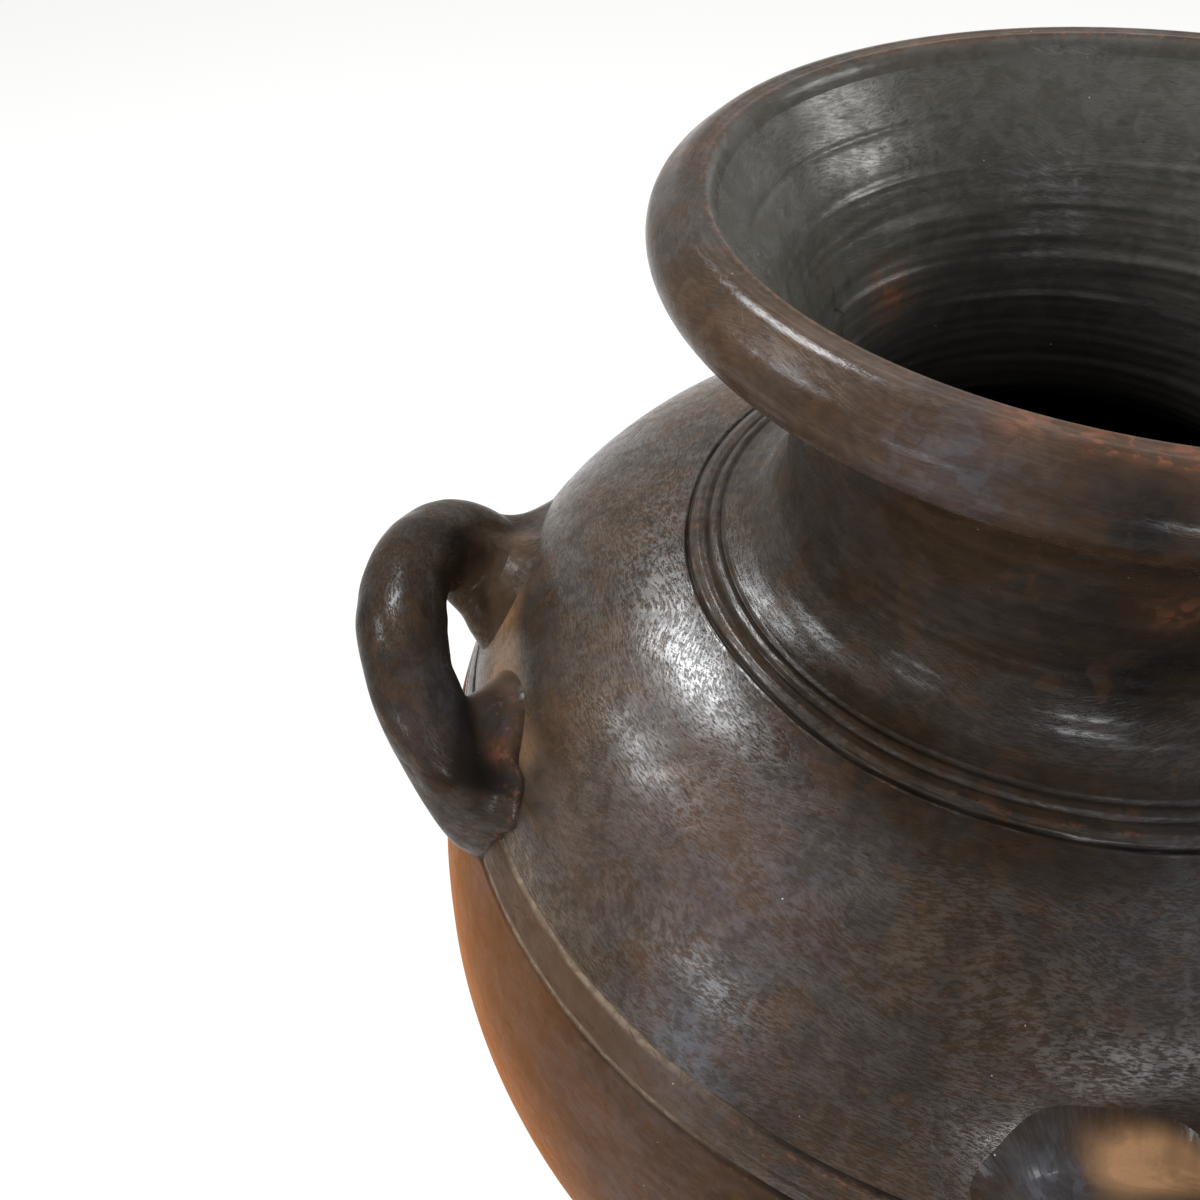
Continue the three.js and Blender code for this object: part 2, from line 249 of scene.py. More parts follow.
def bend(start, end, leaving, arriving, first_pull, last_pull, count=160):
    """A cubic curve that leaves its start and arrives at its end at two headings. Each point is the mean
    of four places, weighted by (1-t)^3, 3(1-t)^2 t, 3(1-t) t^2 and t^3, with t from 0 to 1: the start, the
    place one pull further on, the place one pull short of the end, and the end."""
    t = np.linspace(0, 1, count)[:, None]
    start, end = np.array(start, float), np.array(end, float)
    leave = onward(start, first_pull * MM, leaving)
    reach = onward(end, -last_pull * MM, arriving)
    return (1 - t) ** 3 * start + 3 * (1 - t) ** 2 * t * leave + 3 * (1 - t) * t ** 2 * reach + t ** 3 * end


def straight(start, end, count=40):
    """Evenly spaced points from one place to another."""
    return np.linspace(np.array(start, float), np.array(end, float), count)


def round_about(centre, radius, start, end, count=120):
    """An arc about a centre, between two angles in degrees."""
    turned = np.radians(np.linspace(start, end, count))
    return np.array(centre) + radius * np.column_stack([np.cos(turned), np.sin(turned)])


def into_clay(points):
    """Unit directions square to a row of points, to the left of its travel, which is into the wall."""
    travel = np.gradient(points, axis=0)
    travel /= np.linalg.norm(travel, axis=1)[:, None]
    return np.column_stack([-travel[:, 1], travel[:, 0]])


class Outline:
    """Half of the vessel's section: from the middle of the base up the outer face, over the rim,
    down the inner face and back to the axis. A place on it is its run, the distance along it."""

    # Headings of the outline's travel in degrees: up the lower wall, over the shoulder's top, along the
    # rings, and down the funnel
    LOWER = 44
    SHOULDER = 174
    RINGS = 165
    FUNNEL = 234
    # For each curve its headings at both ends, and its two pulls in millimetres, which set its fullness
    CURVES = {
        "base_edge": (0, LOWER, 4.7, 4.7),
        "lower": (LOWER, 90, 92, 92),
        "shoulder": (90, SHOULDER, 77.5, 62),
        "neck": (RINGS, 90, 9, 13),
        "flare": (90, 0, 34, 19),
        "funnel": (FUNNEL, -90, 24, 36),
        "turn": (-90, SHOULDER + 180, 15, 15),
    }
    # Angles round the rim's roll at which its outer crest and the funnel's edge lie, in degrees
    CREST = 165
    EDGE = 200
    # How near to a mark a run counts as on it, because two outlines can differ in their last digits
    SLACK = 1e-6

    def __init__(self):
        sizes = settings("vessel")
        lines = settings("lines")
        corner = (sizes.base_radius, 0)
        flat_end = (sizes.base_radius - sizes.base_corner, 0)
        wall_start = onward(corner, sizes.base_corner, self.LOWER)
        belly = (sizes.belly_radius, sizes.belly_height)
        foot = (sizes.neck_foot_radius, sizes.neck_foot_height)
        neck_start = onward(foot, lines.lower_ring + lines.upper_ring + lines.ring_margin, self.RINGS)
        waist = (sizes.neck_radius, sizes.neck_height)
        roll_centre = (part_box("rim")[1].x - sizes.roll_radius, sizes.height - sizes.roll_radius)
        roll = round_about(roll_centre, sizes.roll_radius, -90, self.FUNNEL - 90)
        throat = (sizes.throat_radius, sizes.throat_height)
        under_neck = onward(foot, sizes.wall, self.SHOULDER + 90)
        lower = bend(wall_start, belly, *self.CURVES["lower"])
        shoulder = bend(belly, foot, *self.CURVES["shoulder"])
        inner_shoulder = (shoulder + sizes.wall * into_clay(shoulder))[::-1]
        inner_lower = (lower + sizes.wall * into_clay(lower))[::-1]
        floor_edge = (inner_lower[-1][0] - sizes.wall, sizes.floor)
        stretches = {
            "underside": straight((0, 0), flat_end),
            "base_edge": bend(flat_end, wall_start, *self.CURVES["base_edge"]),
            "lower": lower,
            "shoulder": shoulder,
            "rings": straight(foot, neck_start),
            "neck": bend(neck_start, waist, *self.CURVES["neck"]),
            "flare": bend(waist, roll[0], *self.CURVES["flare"]),
            "roll": roll,
            "funnel": bend(roll[-1], throat, *self.CURVES["funnel"]),
            "turn": bend(throat, under_neck, *self.CURVES["turn"]),
            "inner_shoulder": inner_shoulder,
            "inner_lower": inner_lower,
            "bottom_edge": straight(inner_lower[-1], floor_edge),
            "bottom": straight(floor_edge, (0, sizes.floor)),
        }
        self.marks = {}
        runs, rows = [], []
        run = 0.0
        for name, points in stretches.items():
            self.marks[name] = run
            along = np.concatenate([[0], np.cumsum(np.linalg.norm(np.diff(points, axis=0), axis=1))])
            runs.append(run + along[:-1])
            rows.append(points[:-1])
            run += along[-1]
        self.marks["end"] = run
        self.run = np.concatenate([*runs, [run]])
        self.points = np.vstack([*rows, points[-1]])
        self.inward = into_clay(self.points)
        self.belly_lines = self.marks["shoulder"] + lines.belly_seam + np.array([0, lines.band_width])
        self.ring_lines = self.marks["rings"] + np.cumsum([0, lines.lower_ring, lines.upper_ring])
        self.crest, self.edge = (
            self.marks["roll"] + sizes.roll_radius * math.radians(place) for place in (self.CREST, self.EDGE))

    def at(self, run):
        """Radius and height of places on the outline."""
        return np.interp(run, self.run, self.points[:, 0]), np.interp(run, self.run, self.points[:, 1])

    def outward(self, run):
        """Radial and upward parts of the direction out of the clay."""
        return -np.interp(run, self.run, self.inward[:, 0]), -np.interp(run, self.run, self.inward[:, 1])

    def across(self, run):
        """The run of the place on the inner face that lies across the wall from one on the outer face."""
        marks = self.marks
        if run > marks["roll"] - self.SLACK:
            return marks["funnel"]
        if run > marks["rings"] - self.SLACK:
            return marks["inner_shoulder"]
        start, end = "inner_lower", "bottom_edge"
        if run > marks["shoulder"] - self.SLACK:
            start, end = "inner_shoulder", "inner_lower"
        inner = (self.run >= marks[start]) & (self.run <= marks[end])
        target = np.array(self.at(run)) - settings("vessel").wall * np.array(self.outward(run))
        nearest = np.argmin(np.linalg.norm(self.points[inner] - target, axis=1))
        return self.run[inner][nearest]


# Relief of the surface: heights in metres above the outline, as functions of azimuth and run


def smooth(value, low, high):
    """0 below low, 1 above high, and 3t^2 - 2t^3 between them."""
    t = np.clip((value - low) / (high - low), 0, 1)
    return t * t * (3 - 2 * t)


def zone(run, start, end, soft):
    """1 between two places, falling smoothly to 0 over a soft distance outside them."""
    return smooth(run, start - soft, start) * (1 - smooth(run, end, end + soft))


def bell(value, middle, reach):
    """1 at a middle, falling on both sides of it as exp(-((value - middle) / reach)^2)."""
    return np.exp(-((value - middle) / reach) ** 2)


def waves(seed, azimuth, run, turns, lengths, count=14):
    """A sum of sine waves that closes round the axis: sin(turns x azimuth + 2 pi run / length + phase),
    with whole turns up to a most and lengths between a least and a most. Its mean square is 1."""
    dice = np.random.default_rng(seed)
    total = 0
    for _ in range(count):
        whole = dice.integers(-turns, turns + 1)
        length = np.exp(dice.uniform(math.log(lengths[0]), math.log(lengths[1])))
        phase = dice.uniform(0, TURN)
        total = total + np.sin(whole * azimuth + TURN * run / length + phase)
    return total / math.sqrt(count / 2)


def ripple(seed, azimuth, turns, count=8):
    """Waves round the axis that are the same at every run."""
    return waves(seed, azimuth, 0, turns, (1, 2), count)


def wobble(outline, azimuth, run):
    """Low waves of the hand-built wall, which fade out towards the base and the rim."""
    marks = outline.marks
    bowl = zone(run, marks["lower"] + 0.02, marks["rings"] - 0.02, 0.03)
    neck = zone(run, marks["rings"] + 0.02, marks["roll"] - 0.006, 0.02)
    low = waves(3, azimuth, run, 4, (0.12, 0.5), 10)
    fine = waves(4, azimuth, run, 16, (0.02, 0.07), 18)
    return (bowl + 0.45 * neck) * settings("vessel").wobble * (0.45 * low + 0.1 * fine - 0.5)


def groove(azimuth, run, place, seed, strength, width, fade=0.0):
    """An incised line: how far each place lies down its rounded V, from 0 to 1, and its height. It has
    a burr on each side and strays from its level by slow waves. Where it fades it is wide and shallow."""
    lines = settings("lines")
    ragged = fade * waves(seed + 3, azimuth, run, 90, (0.004, 0.01))
    stray = lines.drift * (ripple(seed, azimuth, 9) + ragged) / 2
    from_middle = (run - place - stray) / (width * lines.width / 2 * (1 + 0.9 * fade))
    share = np.exp(-np.abs(1.15 * from_middle) ** (1.7 + 1.5 * fade))
    uneven = 0.88 + 0.16 * ripple(seed + 1, azimuth, 30, 12)
    depth = lines.depth * uneven * strength * (1 - 0.6 * fade)
    crumbled = 0.6 + 0.4 * waves(seed + 2, azimuth, run, 60, (0.004, 0.01))
    heap = lines.burr * crumbled * strength * (1 - 0.4 * fade)
    burrs = bell(from_middle, -1.5, 0.55) + 0.8 * bell(from_middle, 1.5, 0.55)
    return share * strength, heap * burrs - depth * share


def band_fade(azimuth):
    """1 on the left of each stretch of the belly band, where the smoothing hand has nearly closed its
    lines, and 0 on the right of it, where they are crisp."""
    slow = 0.25 * ripple(61, azimuth, 7, 6)
    return smooth(np.cos(4 * (azimuth - math.radians(203))) + slow, -0.1, 0.7)


def rings(outline, azimuth, run):
    """The neck's two rings between three incised lines. The lower has two facets that meet in a blunt
    crest, and the upper is a low round bead. Above them one more faint ridge was left by the finger."""
    lines = settings("lines")
    first, second, third = outline.ring_lines
    share = (run - first) / lines.lower_ring
    climb = np.minimum(share / RING_CREST, (1 - share) / (1 - RING_CREST))
    blunt = 0.86 + 0.07 * np.sin((climb - 0.86) / 0.14 * math.pi / 2)
    facets = np.where(climb > 0.86, blunt, np.clip(climb, 0, 1))
    bead = 0.75 * np.sin(math.pi * np.clip((run - second) / lines.upper_ring, 0, 1)) ** 0.8
    height = lines.ring_rise * np.where(run < second, facets, bead) * (run > first) * (run < third)
    faint = bell(run, third + 0.0085 + 0.0006 * np.sin(azimuth * 2), 0.0012)
    return height * (1 + 0.12 * ripple(21, azimuth, 14)) + lines.faint_rise * faint


def band(outline, run):
    """The belly band: clay raised a little between its two lines."""
    lines = settings("lines")
    share = np.clip((run - outline.belly_lines[0]) / lines.band_width, 0, 1)
    return lines.band_rise * np.sin(math.pi * share)


def grooves(outline, azimuth, run):
    """All the incised lines: how far each place lies down one of them, and their height together. Three
    run round the foot of the neck and two round the belly, with a faint third one between these."""
    low, high = outline.belly_lines
    middle = low + 0.4 * settings("lines").band_width
    fade = band_fade(azimuth)
    # Each line's place, first seed, strength, share of the full width, and fading
    rows = [
        (outline.ring_lines[0], 31, 0.9, 0.62, 0.0),
        (outline.ring_lines[1], 34, 0.4, 0.7, 0.0),
        (outline.ring_lines[2], 37, 0.5, 0.9, 0.0),
        (low, 41, 1.0, 0.8, fade),
        (high, 44, 0.9, 0.8, fade),
        (middle, 47, 0.3 * (1 - fade), 0.6, 0.0),
    ]
    shares, heights = zip(*(groove(azimuth, run, *row) for row in rows))
    return np.maximum.reduce(shares), sum(heights)


def finger_rings(outline, azimuth, run):
    """Finger ridges: each is steep above and runs out slowly below, and climbs a little as it goes
    round. Outside they are faint, and inside the neck they grow with the depth below the rim."""
    marks = outline.marks
    level = outline.at(run)[1]
    climb = 0.0007 * np.sin(azimuth + 0.6) + 0.0004 * np.sin(3 * azimuth) + 0.0002 * ripple(51, azimuth, 12)
    inside = 0
    for count, height in enumerate(FINGER_RIDGES):
        from_top = (height + climb - level) / (0.0014 + 0.0004 * (count % 3))
        profile = smooth(from_top, -0.7, 0.6) * np.exp(-np.clip(from_top, 0, None) / 1.6)
        broken = np.clip(0.4 + 0.7 * ripple(70 + count, azimuth, 6), 0, 1.5)
        inside = inside + (0.9 + 0.08 * count) * broken * profile
    stray = 0.15 * waves(54, azimuth, run, 5, (0.003, 0.014), 18) * smooth(0.445 - level, 0.01, 0.05)
    inside = (inside + stray) * zone(run, marks["funnel"] + 0.004, marks["turn"] + 0.012, 0.004)
    faint = 0.14 * zone(run, marks["neck"] + 0.004, marks["roll"] - 0.012, 0.008)
    outside = faint * waves(55, azimuth, run, 2, (0.003, 0.012))
    crease = 0.6 * bell(level, 0.4325 + 0.0018 * np.sin(azimuth - 2.2), 0.0008) * (run > marks["funnel"])
    crease = crease * smooth(np.cos(azimuth - math.radians(138)), 0.75, 0.97)
    return settings("lines").throwing * (inside + outside - crease)


def lip(outline, azimuth, run):
    """The finish of the lip: a crest where the outer face turns over, a flatter band on top, and an inner
    edge from which the funnel goes down more steeply than the roll does."""
    crest, edge, end = outline.crest, outline.edge, outline.marks["funnel"]
    uneven = 1 + 0.2 * ripple(81, azimuth, 9)
    line = 0.0001 * uneven * bell(run, crest, 0.0010)
    flat = 0.0003 * zone(run, crest + 0.0030, edge - 0.0020, 0.0016)
    flat = flat + 0.0007 * bell(run, crest - 0.0045, 0.0038)
    bead = 0.00008 * uneven * bell(run, edge, 0.0009) - 0.00012 * zone(run, crest, end, 0.001)
    funnel = 0.0019 * smooth(run, edge, end + 0.001) * (1 - smooth(run, end + 0.002, end + 0.03))
    return line - flat + bead - funnel


def relief(outline, azimuth, run):
    """Everything that the hand and the tools left on the wall, in metres above the outline."""
    parts = [part(outline, azimuth, run) for part in (wobble, rings, finger_rings, lip)]
    return sum(parts) + grooves(outline, azimuth, run)[1] + band(outline, run)


def worn_and_lit(outline, azimuth, run):
    """Where rust-coloured nicks go: wear on the lip's inner edge and the lower ring's crest all round, a
    painted warm highlight on the lip's outer crest at the front, and painted warm light on the lower burr of
    each belly line where it is crisp."""
    lines = settings("lines")
    ring = outline.ring_lines[0] + RING_CREST * lines.lower_ring
    total = 0.6 * bell(run, outline.edge, 0.0012) + 0.5 * bell(run, ring, 0.0008)
    warm_glint_front = smooth(np.cos(azimuth - math.radians(262)), 0.86, 0.97)
    total = total + 1.2 * warm_glint_front * bell(run, outline.crest + 0.001, 0.0014)
    crisp = 0.9 * (1 - band_fade(azimuth))
    for line in outline.belly_lines:
        total = total + crisp * bell(run, line - 0.75 * lines.width, 0.0006)
    return total


# Meshes


def closed_mesh(name, grid, poles):
    """A closed surface on a grid of rows and columns, and the points of the grid that it uses. Columns
    join up round it. With poles, the first and last rows are single points that close its ends with
    fans, and otherwise the last row joins the first."""
    rows, columns = grid.shape[:2]
    index = np.arange(rows * columns).reshape(rows, columns)
    if poles:
        index[0] = index[0, 0]
        index[-1] = index[-1, 0]
    lower = index[:-1] if poles else index
    upper = index[1:] if poles else np.roll(index, -1, 0)
    quads = np.stack([lower, np.roll(lower, -1, 1), np.roll(upper, -1, 1), upper], -1).reshape(-1, 4)
    low_fan = quads[:, 0] == quads[:, 1]
    high_fan = ~low_fan & (quads[:, 2] == quads[:, 3])
    whole = ~low_fan & ~high_fan
    corners = np.concatenate([
        quads[whole].ravel(), quads[low_fan][:, [0, 2, 3]].ravel(), quads[high_fan][:, :3].ravel()])
    sizes = np.repeat([4, 3], [whole.sum(), (~whole).sum()])
    used, corners = np.unique(corners, return_inverse=True)
    mesh = bpy.data.meshes.new(name)
    mesh.vertices.add(len(used))
    mesh.vertices.foreach_set("co", grid.reshape(-1, 3)[used].astype(np.float32).ravel())
    mesh.loops.add(len(corners))
    mesh.loops.foreach_set("vertex_index", corners.astype(np.int32).ravel())
    mesh.polygons.add(len(sizes))
    mesh.polygons.foreach_set("loop_start", (np.cumsum(sizes) - sizes).astype(np.int32))
    mesh.update(calc_edges=True)
    mesh.polygons.foreach_set("use_smooth", np.ones(len(sizes), bool))
    if mesh.validate():
        raise RuntimeError(f"{name}: the mesh needed mending")
    return mesh, used


def stained(blots, grid):
    """How strongly each place is stained: the greatest of some soft blots, each of which falls from
    its strength to 0 as exp(-(distance / reach)^2) from its middle. Blots are given in millimetres."""
    total = 0
    for strength, reach, *middle in blots:
        gap = np.linalg.norm(grid / MM - np.array(middle), axis=-1)
        total = np.maximum(total, strength * bell(gap, 0, reach))
    return total


def paint(mesh, used, grid, glow_share, wrap, **layers):
    """Stores what the material reads for each point of a mesh: its place on the unrolled skin, and its
    layers, which are 0 where none is given. The stains, painted light and shade among them, are worked out
    here, the painted warm bounce glow times a share."""
    for stain, blots in STAINS.items():
        layers[stain] = stained(blots, grid) * (glow_share if stain == "flash_and_bounce_glow" else 1)
    skin = np.stack(np.broadcast_arrays(*wrap), -1).reshape(-1, 3)[used].astype(np.float32)
    mesh.attributes.new("wrap", "FLOAT_VECTOR", "POINT").data.foreach_set("vector", skin.ravel())
    for name in LAYERS:
        values = np.broadcast_to(layers.get(name, 0.0), grid.shape[:2]).ravel()[used].astype(np.float32)
        mesh.attributes.new(name, "FLOAT", "POINT").data.foreach_set("value", values)


def link(name, data):
    """Puts new data into the scene as an object."""
    made = bpy.data.objects.new(name, data)
    bpy.context.scene.collection.objects.link(made)
    return made


def show(mesh, nodes, material):
    """Puts a finished mesh into the scene as the piece that stands for some CAD nodes."""
    piece = link(mesh.name, mesh)
    mesh.materials.append(material)
    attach(piece, "root")
    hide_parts(*nodes)


def places_along(start, end, step, fine=(), samples=6000):
    """Places from a start to an end, a step apart, and closer where fine names (place, reach, step)."""
    run = np.linspace(start, end, samples)
    density = np.full_like(run, 1 / step)
    for place, reach, fine_step in fine:
        density = np.maximum(density, np.where(np.abs(run - place) < reach, 1 / fine_step, 0))
    total = np.concatenate([[0], np.cumsum((density[1:] + density[:-1]) / 2 * np.diff(run))])
    count = max(2, int(math.ceil(total[-1])))
    return np.interp(np.linspace(0, total[-1], count + 1), total, run)


def surface(outline, azimuth, run):
    """Radius, height and run of places on the finished face: the outline's place, and the relief along
    the direction out of the clay. Azimuths are a column and runs a row."""
    radius, height = outline.at(run)
    out_r, out_z = outline.outward(run)
    lift = relief(outline, azimuth, run)
    return np.stack(np.broadcast_arrays(radius + out_r * lift, height + out_z * lift, run))


def ridge(low, high, run):
    """The ridge of a seam, as one place for each azimuth at a run: halfway between the edges of two
    faces, raised square to the line between them."""
    across = (high - low)[:2]
    across /= np.linalg.norm(across, axis=0)
    rise = settings("vessel").seam_ridge
    radius, height = (low + high)[:2] / 2 + rise * np.stack([across[1], -across[0]])
    return np.stack([radius, height, np.full_like(radius, run)])[..., None]


def near_feet(outline, azimuth, run):
    """1 on the shoulder under a handle, between its feet, falling to 0 some way off."""
    sizes = settings("handles")
    seat_run = outline.belly_lines[0] + sizes.seat
    seat_radius = outline.at(seat_run)[0]
    upward = zone(run, seat_run + 0.002, seat_run + 0.014, 0.011)
    total = 0
    for degrees in HANDLES.values():
        from_middle = (azimuth - math.radians(degrees) + math.pi) % TURN - math.pi
        sideways = np.abs(from_middle) * seat_radius
        total = np.maximum(total, zone(sideways, -1, sizes.half_span - 0.012, 0.016) * upward)
    return total


def section(name, material, start, end, columns, step, inner_step, fine=(), inner_fine=()):
    """One thrown section of the vessel between two places on the outer face. Its grid goes up the outer
    face, over the seam above, down the inner face and over the seam below, at every azimuth. The base
    starts and ends on the axis instead, and the rim is a coil with one seam and no inner face."""
    outline = Outline()
    marks = outline.marks
    azimuth = np.arange(columns)[:, None] * TURN / columns
    if name == "base":
        flat = places_along(0, marks["base_edge"], 0.012)
        outer_runs = np.concatenate([flat, places_along(marks["base_edge"], end, step, fine)[1:]])
        inner_end = marks["end"]
    else:
        outer_runs = places_along(start, end, step, fine)
        inner_end = outline.across(start)
    outer = surface(outline, azimuth, outer_runs)
    if name == "rim":
        faces = [outer, ridge(outer[..., 0], outer[..., -1], end)]
    else:
        inner_runs = places_along(outline.across(end), inner_end, inner_step, inner_fine)
        inner = surface(outline, azimuth, inner_runs)
        faces = [outer, ridge(outer[..., -1], inner[..., 0], end), inner]
        if name != "base":
            faces.append(ridge(outer[..., 0], inner[..., -1], start))
    radius, height, run = np.concatenate(faces, 2).transpose(0, 2, 1)
    run = run[:, :1]
    turn = azimuth.T
    grid = np.stack([radius * np.cos(turn), radius * np.sin(turn), height], -1)
    if name == "base":
        grid[[0, -1], :, :2] = 0
    mesh, used = closed_mesh("urn_" + name, grid, name == "base")
    mesh.set_sharp_from_angle(angle=math.radians(62))
    spread = outline.at(run)[0]
    low, high = outline.belly_lines
    paint(
        # The painted warm bounce glow is kept below the belly band
        mesh, used, grid, 1 - smooth(run, low - 0.004, low + 0.004),
        (spread * np.cos(turn), spread * np.sin(turn), run),
        foot=0.5 * near_feet(outline, turn, run),
        inside=smooth(run, outline.edge - 0.0005, outline.edge + 0.0015),
        # Painted shade deep down inside the neck
        deep=smooth(run, marks["funnel"] + 0.03, marks["turn"]),
        # The incised lines carry painted shade, and chalk dust where they are shallow
        groove=grooves(outline, turn, run)[0],
        chalk=band_fade(turn) * zone(run, low, high, 0.002),
        # Rust-coloured nicks of wear, and painted warm light on the lip's front crest and the belly lines'
        # lower burrs
        edge=worn_and_lit(outline, turn, run))
    show(mesh, [name], material)


def coil_line(sizes, dice):
    """The middle line of a coil, row by row: two short legs and half an ellipse between them. A row has a
    place along the shoulder, one up it, a height off it, a tilt of its ring and a share of full girth.
    No two coils are alike: each is a little lower than the sizes say, and leans a little less."""
    rise, lean = 0.985 - np.array([0.03, 0.08]) * dice.uniform(0, 1, 2)
    leg = 0.014 * (np.arange(15) / 22) ** 2
    legs = np.concatenate([[-0.6 * MM, -0.6 * MM, -0.4 * MM], leg[leg < sizes.leg]])
    arch = np.linspace(0, math.pi, 91)
    still = np.zeros(len(legs))
    half = sizes.half_span
    sideways = np.concatenate([still - half, -half * np.cos(arch), still + half])
    height = np.concatenate([legs, sizes.leg + sizes.rise * rise * np.sin(arch), legs[::-1]])
    upward = np.concatenate([still, sizes.lean * lean * np.sin(arch), still])
    tilt = np.arctan2(half * np.sin(arch), sizes.rise * np.cos(arch))
    tilt = np.concatenate([still, tilt, still + math.pi])
    girth = np.ones(len(height))
    girth[[0, -1]] = 0
    girth[[1, -2]] = 0.6
    return [row[:, None] for row in (sideways, upward, height, tilt, girth)]


def round_values(values, turned):
    """A smooth curve round a foot through evenly spaced values, as the sum of waves that fits them."""
    fine = np.fft.irfft(np.fft.rfft(values), 720) * 720 / len(values)
    return np.interp(turned % TURN, np.arange(721) * TURN / 720, np.append(fine, fine[0]))


def tongue(foot, below, height):
    """How far the tip of a wad is drawn out towards the band: its reach x below^4 x (1 - height / top)^1.15,
    where below is 1 on the side of the coil that faces the band and 0 from its sides upwards."""
    reach = MM * foot["tip"]
    return reach * below ** 4 * (1 - np.clip(height / (0.02 + 1.1 * reach), 0, 1)) ** 1.15


def wad_push(sizes, foot, turned, height):
    """How far a wad carries the clay away from the middle of its foot, at an angle round it and a height.
    The angle is 0 on the outer side, a quarter turn towards the neck and half a turn under the coil.
    It is reach x (1 - height / top)^power, with each of the three given at twelve angles round the foot:
    the power is near 1 under the coil, where the wad is a web, and higher where its curve is hollow."""
    outer, up, web = (MM * foot[part] for part in ("outer", "up", "web"))
    low, tall = sizes.wad_height, sizes.web_height
    side = low + 0.5 * outer
    corner = 0.42 * web + 0.5 * up
    reach = np.array([
        outer, 0.5 * (outer + up), up, up, corner, 0.9 * web, web, 0.45 * web, 0, 0, 0.001, 0.5 * outer])
    top = np.array([
        side, side, low, low, 0.5 * (low + tall), 0.9 * tall, tall, 0.85 * tall, low, low, low, side])
    power = np.array([3.4, 3.4, 3.4, 3.4, 2.2, 1.4, 1.05, 1.3, 2.2, 2.4, 2.4, 3.4])
    level = np.clip(height / round_values(top, turned), 0, 1)
    return round_values(reach, turned) * (1 - level) ** round_values(power, turned)


def fold(sizes, turned, height):
    """A ridge that runs round the side of the neck, falling from the web to the tip, and the hollow that
    the finger pressed above it: how far they stand out, and how much each place lies on the ridge."""
    level = 0.0008 + 0.005 * smooth(turned, 0.2, 2.7)
    raised = zone(turned, -0.9, 2.2, 0.5) * bell(height, level, 0.0034)
    hollow = zone(turned, 0.3, 2.3, 0.7) * bell(height, level + 0.0085, 0.0045)
    return sizes.fold * (raised - 0.8 * hollow), raised


